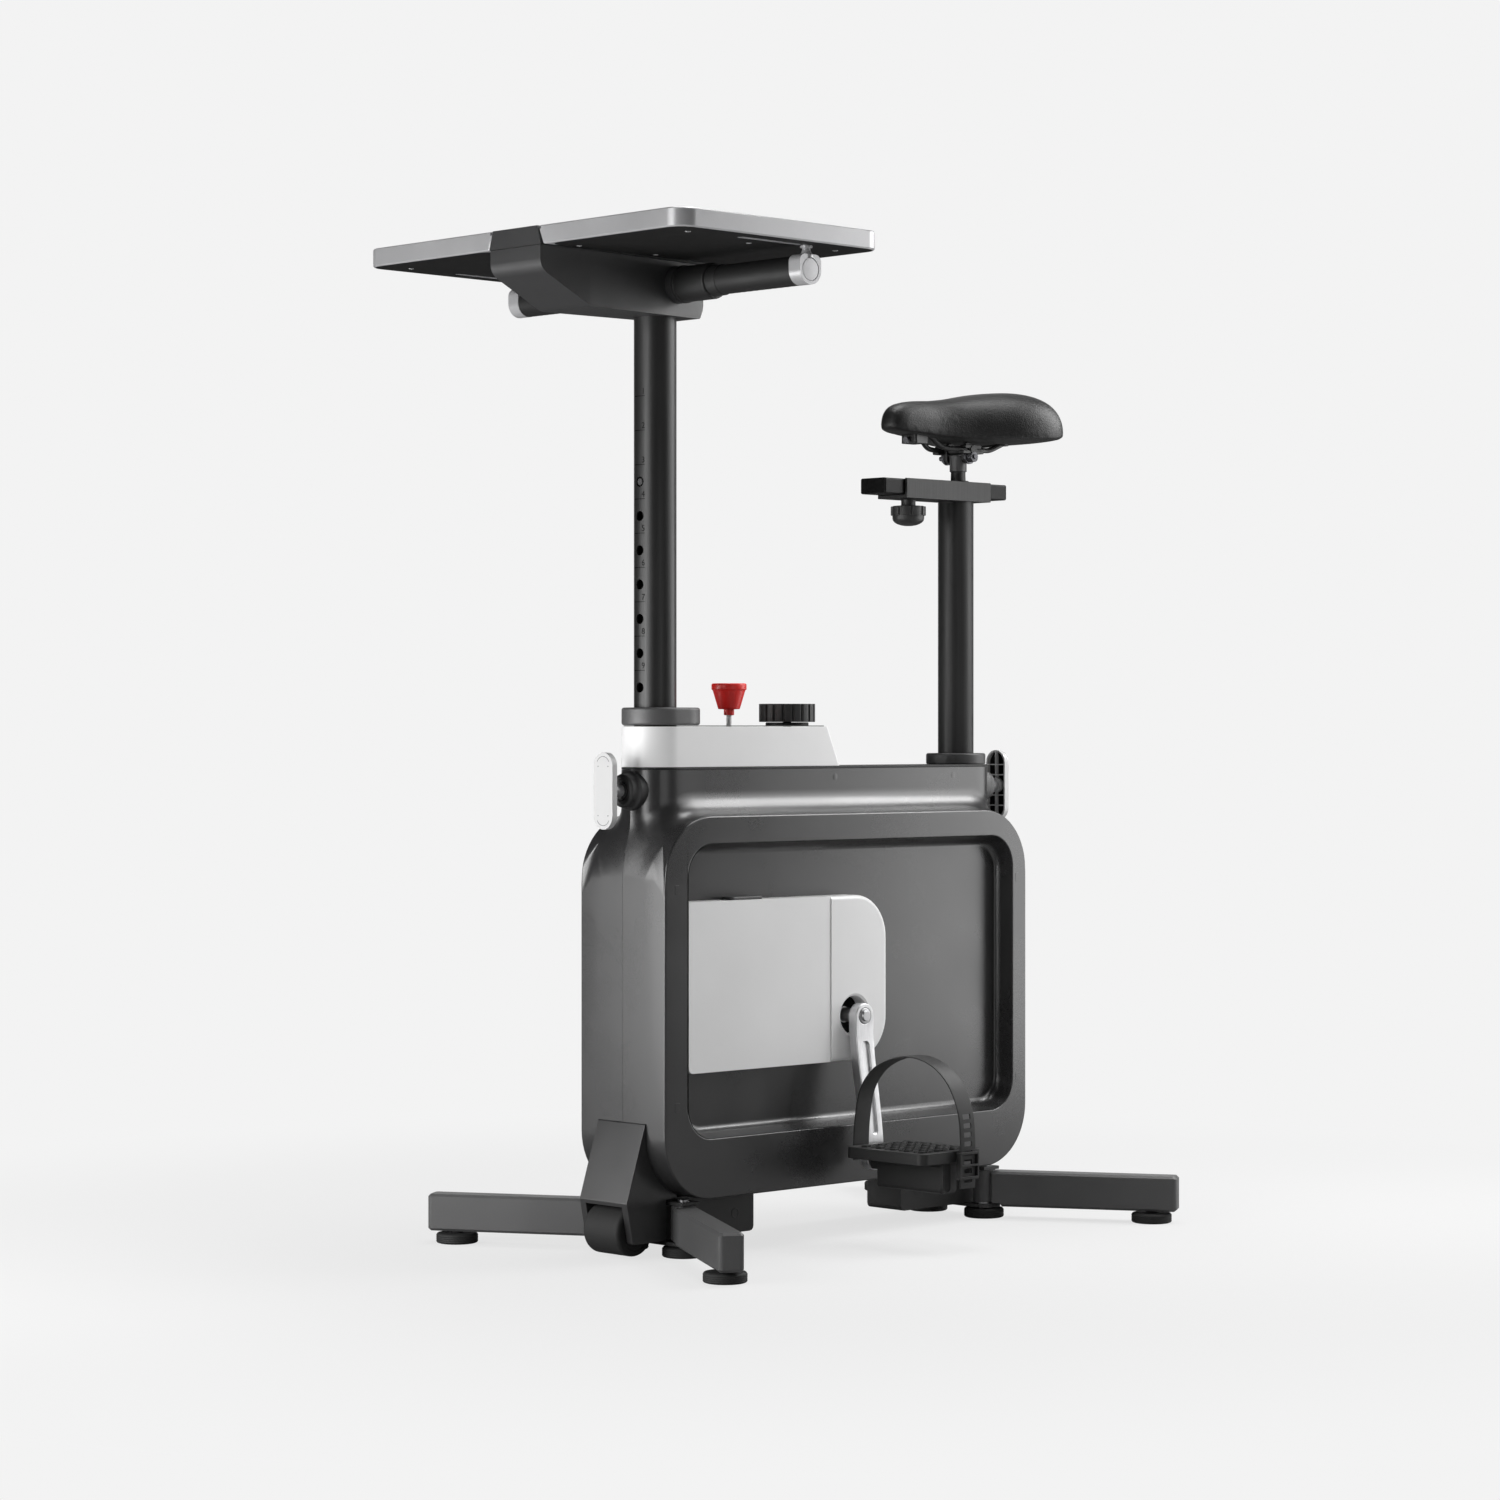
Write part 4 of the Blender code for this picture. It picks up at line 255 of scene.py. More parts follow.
def drawn_tube(name, colour, rough=0.38, **fixed):
    """Painted steel tube with faint lines along its length, where it slides."""
    finish = Finish(name, **fixed)
    lines = finish.noise(520.0, 3.0, (1.0, 1.0, 0.012)).between(0.42, 0.66)
    smudge = finish.noise(16.0, 4.0, (1.0, 1.0, 0.35)).between(0.4, 0.7)
    peel = finish.noise(240.0, 2.0)
    finish.set("Base Color", finish.blend(
        lines * 0.4 + smudge * 0.4, shade_of(colour, 0.9), shade_of(colour, 1.35)
    ))
    finish.set("Roughness", rough - lines * 0.05 + smudge * 0.06)
    finish.emboss(lines * 0.2 + peel, 0.00016, 0.35)
    return finish.material


def bare_metal(name, colour, stretch=(1.0, 1.0, 1.0), rough=0.30, grain=900.0, **fixed):
    """Brushed or turned metal. The stretch sets which way its fine lines run."""
    finish = Finish(name, Metallic=1.0, **fixed)
    lines = finish.noise(grain, 4.0, stretch, 0.65)
    stain = finish.noise(35.0, 4.0).between(0.45, 0.75)
    finish.set("Base Color", finish.blend(
        lines.between(0.35, 0.65) * 0.5 + stain * 0.5, shade_of(colour, 1.05),
        shade_of(colour, 0.82),
    ))
    finish.set("Roughness", lines.between(0.3, 0.7) * 0.14 + stain * 0.06 + rough)
    finish.emboss(lines, 0.00005, 0.35)
    return finish.material


def rubbery(name, colour, grain=700.0, rough=0.72, **fixed):
    """Matt rubber with a fine skin and a trace of dust."""
    finish = Finish(name, **fixed)
    skin = finish.noise(grain, 4.0)
    dust = finish.noise(45.0, 5.0, (1, 1, 1), 0.7).between(0.50, 0.78)
    finish.set("Base Color", finish.blend(dust, shade_of(colour, 0.95), shade_of(colour, 1.6)))
    finish.set("Roughness", rough + dust * 0.12)
    finish.emboss(skin, 0.00018, 0.4)
    return finish.material


def vinyl(name, colour):
    """Saddle cover: pebble grain, softer in its creases and slightly polished on top."""
    finish = Finish(name, Specular_IOR_Level=0.5, Sheen_Weight=0.02, Sheen_Roughness=0.5)
    pebble = finish.cells(620.0, "SMOOTH_F1").between(0.08, 0.62)
    crease = finish.cells(240.0, "DISTANCE_TO_EDGE").between(0.0, 0.10)
    wear = finish.noise(22.0, 3.0).between(0.42, 0.70)
    tone = pebble * 0.5 + wear * 0.5
    finish.set("Base Color", finish.blend(tone, shade_of(colour, 0.8), shade_of(colour, 1.3)))
    finish.set("Roughness", 0.44 + pebble * 0.07 - wear * 0.08)
    finish.emboss(crease * 0.4 - pebble, 0.00022, 0.55)
    return finish.material


# What makes each finish, its colour by name or value, and the settings that differ
RECIPES = {
    "casing_paint": (painted, "casing", {
        "depth": 0.00006, "rough": 0.31, "Specular_IOR_Level": 1.0,
    }),
    "leg_paint": (painted, "legs", {"grain": 1100.0, "rough": 0.42}),
    "keel_paint": (painted, "keel", {"grain": 1100.0, "rough": 0.46}),
    "dark_moulding": (moulded, "dark_moulding", {"Specular_IOR_Level": 0.9}),
    "black_moulding": (moulded, "black_moulding", {"rough": 0.50}),
    "knob_moulding": (moulded, "knobs", {"grain": 1800.0, "rough": 0.42}),
    "bar_moulding": (moulded, "bar", {"grain": 1500.0, "rough": 0.30, "Specular_IOR_Level": 0.15}),
    "white_moulding": (glossy, "panel", {"rough": 0.30}),
    "red_moulding": (glossy, "push_knob", {"rough": 0.32}),
    "post_paint": (drawn_tube, "posts", {}),
    "saddle_post_paint": (drawn_tube, "saddle_post", {"Specular_IOR_Level": 0.25}),
    "silver_paint": (painted, "silver", {
        "grain": 1500.0, "depth": 0.00006, "rough": 0.34, "spread": 0.08, "Metallic": 0.35,
    }),
    "pin_paint": (glossy, "pin_handles", {"rough": 0.34}),
    "alloy": (bare_metal, (0.74, 0.74, 0.75), {"stretch": (1.0, 1.0, 0.05)}),
    "steel": (bare_metal, (0.56, 0.56, 0.57), {"stretch": (1.0, 0.06, 1.0), "rough": 0.26}),
    "zinc": (bare_metal, (0.42, 0.42, 0.43), {"rough": 0.36, "grain": 300.0}),
    "iron": (bare_metal, (0.16, 0.16, 0.17), {"rough": 0.48, "grain": 240.0}),
    "rubber": (rubbery, "rubber", {}),
    "strap_rubber": (rubbery, "rubber", {"grain": 1100.0, "rough": 0.52}),
    "underside": (moulded, "underside", {
        "grain": 700.0, "rough": 0.62, "Specular_IOR_Level": 0.25,
    }),
    "saddle_vinyl": (vinyl, "saddle", {}),
    "marking": (painted, "marking", {
        "grain": 2000.0, "depth": 0.00003, "rough": 0.85, "Specular_IOR_Level": 0.1,
    }),
    "hole_shade": (painted, (0.004, 0.004, 0.004), {"rough": 0.8, "Specular_IOR_Level": 0.1}),
    "collar_moulding": (moulded, "collars", {"rough": 0.44, "Specular_IOR_Level": 0.7}),
}
FINISHES = {}


def finish_of(name):
    """The named finish, made the first time that it is asked for."""
    if name not in FINISHES:
        recipe, colour, settings = RECIPES[name]
        if isinstance(colour, str):
            colour = getattr(bpy.context.scene.bike_colours, colour)
        FINISHES[name] = recipe(name, colour, **settings)
    return FINISHES[name]


# Outlines are lists of 2-D points

def arc(centre, radius, start, end, steps):
    """Points from angle start to angle end, both in degrees."""
    points = []
    for step in range(steps + 1):
        angle = math.radians(start + (end - start) * step / steps)
        points.append((centre[0] + radius * math.cos(angle), centre[1] + radius * math.sin(angle)))
    return points


def circle(centre, radius, steps=48):
    return arc(centre, radius, 0, 360, steps)[:-1]


def rounded(corners, steps=8):
    """Outline through (x, y, radius) corners, each one rounded by its radius."""
    outline = []
    for index, (x, y, radius) in enumerate(corners):
        here = Vector((x, y))
        if radius == 0:
            outline.append((x, y))
            continue
        before = (Vector(corners[index - 1][:2]) - here).normalized()
        after = (Vector(corners[(index + 1) % len(corners)][:2]) - here).normalized()
        half = before.angle(after) / 2
        centre = here + (before + after).normalized() * radius / math.sin(half)
        start = here + before * radius / math.tan(half) - centre
        end = here + after * radius / math.tan(half) - centre
        first = math.atan2(start.y, start.x)
        turn = (math.atan2(end.y, end.x) - first + math.pi) % (2 * math.pi) - math.pi
        outline += arc(centre, radius, math.degrees(first), math.degrees(first + turn), steps)
    return outline


def rectangle(x0, x1, y0, y1, radius=0.0, steps=8):
    return rounded([(x0, y0, radius), (x1, y0, radius), (x1, y1, radius), (x0, y1, radius)], steps)


def slab(x, half, low, high, radius=0.0, steps=8):
    """A rectangle of this half width about x."""
    return rectangle(x - half, x + half, low, high, radius, steps)


def band(first, first_radius, second, second_radius, steps=16):
    """Outline of a band drawn tight round two circles."""
    span = Vector(second) - Vector(first)
    along = math.degrees(math.atan2(span.y, span.x))
    lean = math.degrees(math.acos((first_radius - second_radius) / span.length))
    outline = arc(first, first_radius, along + lean, along + 360 - lean, steps)
    return outline + arc(second, second_radius, along - lean, along + lean, steps)


def stadium(half_width, front_x, rear_x, steps=28):
    front = arc((front_x, 0), half_width, 90, 270, steps)
    return front + arc((rear_x, 0), half_width, -90, 90, steps)


def flowing(knots, steps):
    """A smooth run of rows through the knots, with this many steps between two of them."""
    rows = []
    for index in range(len(knots) - 1):
        near = [knots[min(max(index + shift, 0), len(knots) - 1)] for shift in (-1, 0, 1, 2)]
        for step in range(steps):
            t = step / steps
            rows.append(tuple(
                0.5 * (2 * b + (c - a) * t + (2 * a - 5 * b + 4 * c - d) * t**2
                       + (3 * b - a - 3 * c + d) * t**3)
                for a, b, c, d in zip(*near)
            ))
    return rows + [tuple(knots[-1])]


# Forms are bmeshes

def placed(axis, u, v, along):
    return {"X": (along, u, v), "Y": (u, along, v), "Z": (u, v, along)}[axis]


def prism(outline, low, high, axis):
    """The outline, in the plane across the axis, extruded from low to high."""
    form = bmesh.new()
    face = form.faces.new([form.verts.new(placed(axis, u, v, low)) for u, v in outline])
    grown = bmesh.ops.extrude_face_region(form, geom=[face])["geom"]
    moved = [part for part in grown if isinstance(part, bmesh.types.BMVert)]
    bmesh.ops.translate(form, verts=moved, vec=placed(axis, 0, 0, high - low))
    return form


def turned(profile, centre, axis, steps=48, ring=False):
    """Spins (radius, along) points about an axis. A ring's profile is a closed loop."""
    form = bmesh.new()
    centre = Vector(centre)
    out = Vector((0, 0, 1)) if axis == "X" else Vector((1, 0, 0))
    way = Vector(placed(axis, 0, 0, 1))
    verts = [form.verts.new(centre + out * radius + way * along) for radius, along in profile]
    edges = [form.edges.new(pair) for pair in zip(verts, verts[1:])]
    if ring:
        edges.append(form.edges.new((verts[-1], verts[0])))
    bmesh.ops.spin(
        form, geom=verts + edges, cent=centre, axis=way, angle=2 * math.pi, steps=steps
    )
    bmesh.ops.remove_doubles(form, verts=form.verts, dist=0.000002)
    return form


def peg(centre, radius, start, end, axis, steps=32):
    """A plain round form between two places along an axis, used as a rod or as a drill."""
    return turned([(0, start), (radius, start), (radius, end), (0, end)], centre, axis, steps)


def loft(rings):
    """Joins rings of equal length and closes both ends."""
    form = bmesh.new()
    rows = [[form.verts.new(point) for point in ring] for ring in rings]
    count = len(rows[0])
    for low, high in zip(rows, rows[1:]):
        for index in range(count):
            following = (index + 1) % count
            form.faces.new((low[index], low[following], high[following], high[index]))
    form.faces.new(rows[0])
    form.faces.new(rows[-1])
    return form


def swept(path, radius, steps=14):
    """A round bar along a path of 3-D points."""
    points = [Vector(point) for point in path]
    rings = []
    side = Vector((0, 0, 1))
    for index, point in enumerate(points):
        along = (points[min(index + 1, len(points) - 1)] - points[max(index - 1, 0)]).normalized()
        across = along.cross(side)
        if across.length < 0.2:
            across = along.cross(Vector((1, 0, 0)))
        across.normalize()
        up = across.cross(along).normalized()
        rings.append([
            point + (across * math.cos(angle) + up * math.sin(angle)) * radius
            for angle in (2 * math.pi * step / steps for step in range(steps))
        ])
    return loft(rings)


def merged(*forms):
    """Puts several forms in one, without joining their surfaces."""
    whole = bmesh.new()
    for form in forms:
        mesh = bpy.data.meshes.new("part")
        form.to_mesh(mesh)
        form.free()
        whole.from_mesh(mesh)
        bpy.data.meshes.remove(mesh)
    return whole


def loose(form, name="tool"):
    """An object that holds a form, with its faces turned outwards."""
    bmesh.ops.recalc_face_normals(form, faces=form.faces)
    mesh = bpy.data.meshes.new(name)
    form.to_mesh(mesh)
    form.free()
    thing = bpy.data.objects.new(name, mesh)
    bpy.context.scene.collection.objects.link(thing)
    return thing


def bake(thing):
    """Puts the result of an object's modifiers in its mesh."""
    bpy.context.view_layer.update()
    graph = bpy.context.evaluated_depsgraph_get()
    mesh = bpy.data.meshes.new_from_object(thing.evaluated_get(graph))
    old = thing.data
    thing.modifiers.clear()
    thing.data = mesh
    bpy.data.meshes.remove(old)


def carve(thing, form, operation="DIFFERENCE"):
    tool = loose(form)
    change = thing.modifiers.new(operation, "BOOLEAN")
    change.operation = operation
    change.solver = "EXACT"
    change.object = tool
    bake(thing)
    bpy.data.objects.remove(tool)


def round_edges(thing, width, rings=2, angle=35):
    change = thing.modifiers.new("Rounded edges", "BEVEL")
    change.width = width
    change.segments = rings
    change.limit_method = "ANGLE"
    change.angle_limit = math.radians(angle)
    return change


def roll_edges(thing, outer, width, rings, skip_x=None):
    """Rounds the edges that lie in the plane y = outer, but not those at skip_x."""
    form = bmesh.new()
    form.from_mesh(thing.data)
    chosen = []
    for edge in form.edges:
        level = all(abs(vert.co.y - outer) < 0.0001 for vert in edge.verts)
        skipped = skip_x is not None and all(abs(vert.co.x - skip_x) < 0.001 for vert in edge.verts)
        if level and not skipped and edge.calc_face_angle(0) > 0.4:
            chosen.append(edge)
    bmesh.ops.bevel(
        form, geom=chosen, offset=width, segments=rings, affect="EDGES", profile=0.5,
        clamp_overlap=False,
    )
    form.to_mesh(thing.data)
    form.free()


def smooth(thing, angle=50):
    """Smooth shading that keeps flat faces flat."""
    for face in thing.data.polygons:
        face.use_smooth = True
    thing.data.set_sharp_from_angle(angle=math.radians(angle))
    normals = thing.modifiers.new("Flat faces", "WEIGHTED_NORMAL")
    normals.keep_sharp = True
    normals.weight = 50


def seat(piece, body, node="", sharp=50):
    """Shades a piece and lets it ride on a body, in the place of a CAD node if one is named."""
    smooth(piece, sharp)
    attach(piece, body)
    if node:
        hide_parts(node)


def add(name, form, finish, body, node="", bevel=0.0, rings=2, cuts=(), joins=()):
    """Makes a piece of a form, finishes it and seats it."""
    piece = loose(form, name)
    piece.data.materials.append(finish_of(finish))
    for extra in joins:
        carve(piece, extra, "UNION")
    for tool in cuts:
        carve(piece, tool)
    if bevel:
        round_edges(piece, bevel, rings)
        bake(piece)
    seat(piece, body, node)
    return piece


def close(piece, finish, body, node, bevel, rings, angle=35):
    """Finishes, rounds and seats a piece that was carved by hand."""
    piece.data.materials.append(finish_of(finish))
    round_edges(piece, bevel, rings, angle)
    bake(piece)
    seat(piece, body, node)


def twin(piece, body, node="", turn=None):
    """The right-hand copy of a left piece, moved by a matrix where one is given."""
    mesh = piece.data.copy()
    mesh.transform(Matrix.Scale(-1, 4, (0, 1, 0)))
    mesh.flip_normals()
    if turn:
        mesh.transform(turn)
    copy = bpy.data.objects.new(piece.name.replace("left", "right"), mesh)
    bpy.context.scene.collection.objects.link(copy)
    seat(copy, body, node)


def pair(name, form, finish, body, node="", *shape, turn=None):
    """A left piece and its twin. The twin's body and node are named after the left ones."""
    piece = add(name, form, finish, body, node, *shape)
    twin(piece, body.replace("left", "right"), node.replace("left", "right"), turn)
    return piece


def keep(node, finish, bevel=0.0005, rings=2):
    """Shows a CAD node with a finish, its facets smoothed and its edges rounded."""
    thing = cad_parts[node]
    thing.material_slots[0].material = finish_of(finish)
    custom = thing.data.attributes.get("custom_normal")
    if custom:
        thing.data.attributes.remove(custom)
    for face in thing.data.polygons:
        face.use_smooth = True
    weld = thing.modifiers.new("Joined points", "WELD")
    weld.merge_threshold = 0.000005
    flat = thing.modifiers.new("Whole faces", "DECIMATE")
    flat.decimate_type = "DISSOLVE"
    flat.angle_limit = math.radians(0.4)
    round_edges(thing, bevel, rings, 30)
    normals = thing.modifiers.new("Flat faces", "WEIGHTED_NORMAL")
    normals.weight = 50


# Casing

def casing_rows(across=5, corner=14):
    """Left half of the neck outline and of the casing's outline, point by point."""
    inner, outer = [], []
    for step in range(across):
        y = BODY_HALF * step / (across - 1)
        angle = math.atan2(y, OVERHANG)
        inner.append((-NECK_HALF * math.cos(angle), NECK_HALF * math.sin(angle)))
        outer.append((-OVERHANG, y))
    for step in range(1, corner + 1):
        x = CORNER - OVERHANG - CORNER * math.cos(math.radians(90 * step / corner))
        angle = math.atan2(BODY_HALF, max(-x, 0))
        start = max(x, 0)
        inner.append((start - NECK_HALF * math.cos(angle), NECK_HALF * math.sin(angle)))
        outer.append((x, BODY_HALF))
    ends = [(SPACING - x, y) for x, y in reversed(inner)]
    far_ends = [(SPACING - x, y) for x, y in reversed(outer)]
    return inner + ends, outer + far_ends


def end_drop(x):
    """How far the rounded end of the casing falls below its flat top at x."""
    from_end = min(x, SPACING - x) + OVERHANG
    if from_end >= CORNER:
        return 0.0
    return CORNER - math.sqrt(max(CORNER**2 - (CORNER - from_end) ** 2, 0))


def casing_form(flare, across=5):
    """Left half of the casing with its flared neck."""
    inner, outer = casing_rows(across)
    rows = [[(x, y, NECK_TOP) for x, y in inner]]
    for part in (0, 0.02, 0.06, 0.12, 0.20, 0.30, 0.42, 0.56, 0.72, 0.88, 1.0, 2.2):
        row = []
        for start, end in zip(inner, outer):
            span = Vector(end) - Vector(start)
            reach = min(part * flare, span.length)
            x, y = Vector(start) + span.normalized() * reach
            rise = flare - math.sqrt(flare**2 - max(flare - reach, 0) ** 2)
            row.append((x, y, BODY_TOP - end_drop(x) + rise))
        rows.append(row)
    rows.append([(x, y, BODY_LOW + end_drop(x)) for x, y in outer])
    rows.append([(x, 0, BODY_LOW + end_drop(x)) for x, y in outer[across:-across]])
    form = bmesh.new()
    made = []
    for row in rows:
        made.append([form.verts.new((DESK_X + x, -y - SEAM / 2, z)) for x, y, z in row])
    seam = made.pop()
    under = made[-1][across:-across]
    for low, high in [*zip(made, made[1:]), (under, seam)]:
        for index in range(len(low) - 1):
            form.faces.new((low[index], low[index + 1], high[index + 1], high[index]))
    form.faces.new([seam[0], under[0], *reversed(made[-1][:across])])
    form.faces.new([seam[-1], under[-1], *made[-1][-across:]])
    form.faces.new(made[0])
    bmesh.ops.remove_doubles(form, verts=form.verts, dist=0.00002)
    bmesh.ops.edgeloop_fill(form, edges=[edge for edge in form.edges if edge.is_boundary])
    return form


def recess_form(mouth=0.09):
    """The hollow in the casing's side, with a rounded foot to its sloping wall."""
    floor_y, slope, fillet, turn = 0.047, 0.0135, 9, 56
    depth = BODY_HALF - floor_y
    steps = []
    for step in range(fillet + 1):
        angle = math.radians(turn * step / fillet)
        steps.append((
            0.66 * math.sin(angle) / math.sin(math.radians(turn)),
            0.32 * (1 - math.cos(angle)) / (1 - math.cos(math.radians(turn))),
        ))
    steps.append((1.0, 1.0))
    rings = []
    for opened, raised in steps:
        inset = slope * (1 - opened)
        outline = rectangle(
            DESK_X - 0.0145 + inset, DESK_X + 0.5455 - inset * 0.55,
            0.137 + inset, 0.479 - inset, 0.038 - inset * 0.6, 14,
        )
        rings.append([(x, -(floor_y + depth * raised), z) for x, z in outline])
    rings.append([(x, -mouth, z) for x, _, z in rings[-1]])
    return loft(rings)


class BIKE_OT_casing(bpy.types.Operator):
    """Builds the casing halves with their recesses, seam and screw plugs"""

    bl_idname = "bike.casing"
    bl_label = "Casing"

    def execute(self, context):
        sizes = context.scene.bike_sizes
        left = loose(casing_form(sizes.neck_flare), "casing_left")
        left.data.materials.append(finish_of("casing_paint"))
        carve(left, recess_form())
        carve(left, peg(CRANK, 0.0094, -0.1, 0.1, "Y"))
        for x, radius in ((DESK_X, 0.0262), (SADDLE_X, 0.0237)):
            carve(left, peg((x, 0, 0), radius, BODY_LOW + 0.006, 0.7, "Z", 48))
        roll_edges(left, -BODY_HALF - SEAM / 2, sizes.casing_edge, 4)
        seat(left, "frame", "frame_shell_left", 40)
        twin(left, "frame", "frame_shell_right")
        for index, (x, z) in enumerate((
            (0.3356, 0.4262), (0.3356, 0.1757), (-0.2521, 0.4273), (-0.2521, 0.1764),
        )):
            outline = slab(x, 0.0035, z - 0.0055, z + 0.0055, 0.0018, 4)
            plug = prism(outline, -BODY_HALF + 0.0006, -BODY_HALF - 0.00035, "Y")
            pair(f"ring_plug_left_{index}", plug, "casing_paint", "frame", "", 0.0002, 1)
        for index, x in enumerate((0.0413, 0.2521)):
            profile = [(0, 0), (0.0045, 0), (0.0045, 0.0006), (0.0042, 0.0008), (0, 0.0008)]
            along = [(radius, -NECK_HALF + 0.0006 - rise) for radius, rise in profile]
            plug = turned(along, (x, 0, 0.5548), "Y", 28)
            pair(f"neck_plug_left_{index}", plug, "casing_paint", "frame")
        keep("inner_frame", "zinc", 0.0004)
        keep("neck_plate", "black_moulding", 0.0004)
        return {"FINISHED"}


# Console, collars and knobs

def console_form(inset, low, high):
    """The console's outline at two heights. Its rear end leans forwards."""
    rings = []
    lean = -0.021 / (0.6155 - 0.568)
    half, corner = NECK_HALF - inset, 0.005
    for height in (low, high):
        rear = DESK_X + 0.271 + lean * (height - 0.568) - inset - corner
        outline = arc((DESK_X, 0), half, 90, 270, 40)
        outline += arc((rear, corner - half), corner, -90, 0, 10)
        outline += arc((rear, half - corner), corner, 0, 90, 10)
        rings.append([(x, y, height) for x, y in outline])
    return loft(rings)


def ring_profile(inner, outer, low, high, edge):
    """Closed profile of a collar with rounded outer edges."""
    profile = [(inner, low), (outer - edge * 0.4, low), (outer, low + edge * 0.4)]
    for step in range(5):
        angle = math.radians(90 * step / 4)
        across, up = edge * math.cos(angle), edge * math.sin(angle)
        profile.append((outer - edge + across, high - edge + up))
    profile.append((inner, high))
    return profile


class BIKE_OT_console(bpy.types.Operator):
    """Builds the light console, its dark top and the collars of both posts"""

    bl_idname = "bike.console"
    bl_label = "Console and collars"

    def execute(self, context):
        bore = prism(circle((DESK_X, 0), COLLAR_BORE, 64), 0.55, 0.66, "Z")
        rod = prism(circle((RED_X, 0), 0.0037, 24), 0.55, 0.66, "Z")
        low, high = NECK_FACE, 0.6155
        hollow = console_form(0.003, 0.560, high - 0.003)
        add(
            "console", console_form(0, low, high), "white_moulding", "frame", "console_cover",
            0.0012, 3, [hollow, bore.copy(), rod.copy()],
        )
        base = turned(
            [(0, 0.6162), (0.026, 0.6162), (0.026, 0.6198), (0.0252, 0.6206), (0, 0.6206)],
            (TENSION_X, 0, 0), "Z", 56,
        )
        add(
            "console_top", console_form(0.0025, 0.6158, 0.6168), "black_moulding", "frame",
            "console_plate", 0.0003, 1, [bore, rod], [base],
        )
        collar = stadium(NECK_HALF, DESK_X, DESK_X + 0.018)
        add(
            "desk_collar", prism(collar, 0.6171, 0.6378, "Z"), "collar_moulding", "frame",
            "desk_post_collar", 0.0030, 4,
            [prism(circle((DESK_X, 0), COLLAR_BORE, 64), 0.6, 0.66, "Z")],
        )
        profile = ring_profile(0.0229, 0.0375, NECK_FACE, 0.5820, 0.0025)
        add(
            "saddle_collar", turned(profile, (SADDLE_X, 0, 0), "Z", 64, ring=True),
            "dark_moulding", "frame", "saddle_post_collar",
        )
        return {"FINISHED"}


def fluted(centre, radius, flutes, depth, points=6):
    """Outline of a knob with narrow grooves round it."""
    outline = []
    pitch = 360 / flutes
    for index in range(flutes):
        start = pitch * index
        outline += arc(centre, radius, start, start + pitch * 0.72, points - 1)
        outline += arc(centre, radius - depth, start + pitch * 0.80, start + pitch * 0.92, 1)
    return outline


class BIKE_OT_knobs(bpy.types.Operator):
    """Builds the red push knob, the fluted tension knob and the saddle's lock knob"""

    bl_idname = "bike.knobs"
    bl_label = "Knobs"

    def execute(self, context):
        profile = [
            (0, 0.6290), (0.0052, 0.6290), (0.0062, 0.6296), (0.0062, 0.6360), (0.0122, 0.6363),
            (0.0130, 0.6368), (0.0192, 0.6578), (0.0198, 0.6590), (0.0207, 0.6596),
            (0.0210, 0.6602), (0.0210, 0.6652), (0.0205, 0.6664), (0.0195, 0.6670),
            (0.0150, 0.6669), (0, 0.6665),
        ]
        knob = add(
            "push_knob", turned(profile, (RED_X, 0, 0), "Z", 56), "red_moulding",
            "push_control", "red_knob",
        )
        rod = peg((RED_X, 0, 0), 0.0031, 0.589, 0.6294, "Z", 24)
        add("push_rod", rod, "white_moulding", "push_control")
        outline = fluted((TENSION_X, 0), 0.034, 18, 0.0021)
        top = prism(circle((TENSION_X, 0), 0.0285, 56), 0.6418, 0.66, "Z")
        tension = add(
            "tension_dial", prism(outline, 0.6211, 0.643, "Z"), "knob_moulding",
            "tension_control", "tension_knob", 0.0007, 2, [top],
            [prism(circle((TENSION_X, 0), 0.005, 24), 0.602, 0.63, "Z")],
        )
        pointer = rectangle(TENSION_X - 0.0315, TENSION_X - 0.0295, -0.0008, 0.0008, 0.0006, 4)
        add("tension_mark", prism(pointer, 0.6425, 0.64315, "Z"), "pin_paint", "tension_control")
        profile = [
            (0, 0.8660), (0.0050, 0.8662), (0.0100, 0.8671), (0.0142, 0.8686), (0.0172, 0.8705),
            (0.0190, 0.8726), (0.0198, 0.8748), (0.0200, 0.8790), (0.0200, 0.8905),
            (0.0194, 0.8909),
            (0.0094, 0.8912), (0.0090, 0.8930), (0.0090, 0.8988), (0.0050, 0.8988),
            (0.0050, 0.9030), (0, 0.9030),
        ]
        grip = prism(fluted((LOCK_X, 0), 0.022, 9, 0.0016, 5), 0.8793, 0.8902, "Z")
        lock = add(
            "lock_hand_knob", turned(profile, (LOCK_X, 0, 0), "Z", 56), "knob_moulding",
            "seat_lock", "lock_knob", 0.0006, 2, (), [grip],
        )
        return {"FINISHED"}


# Drive covers

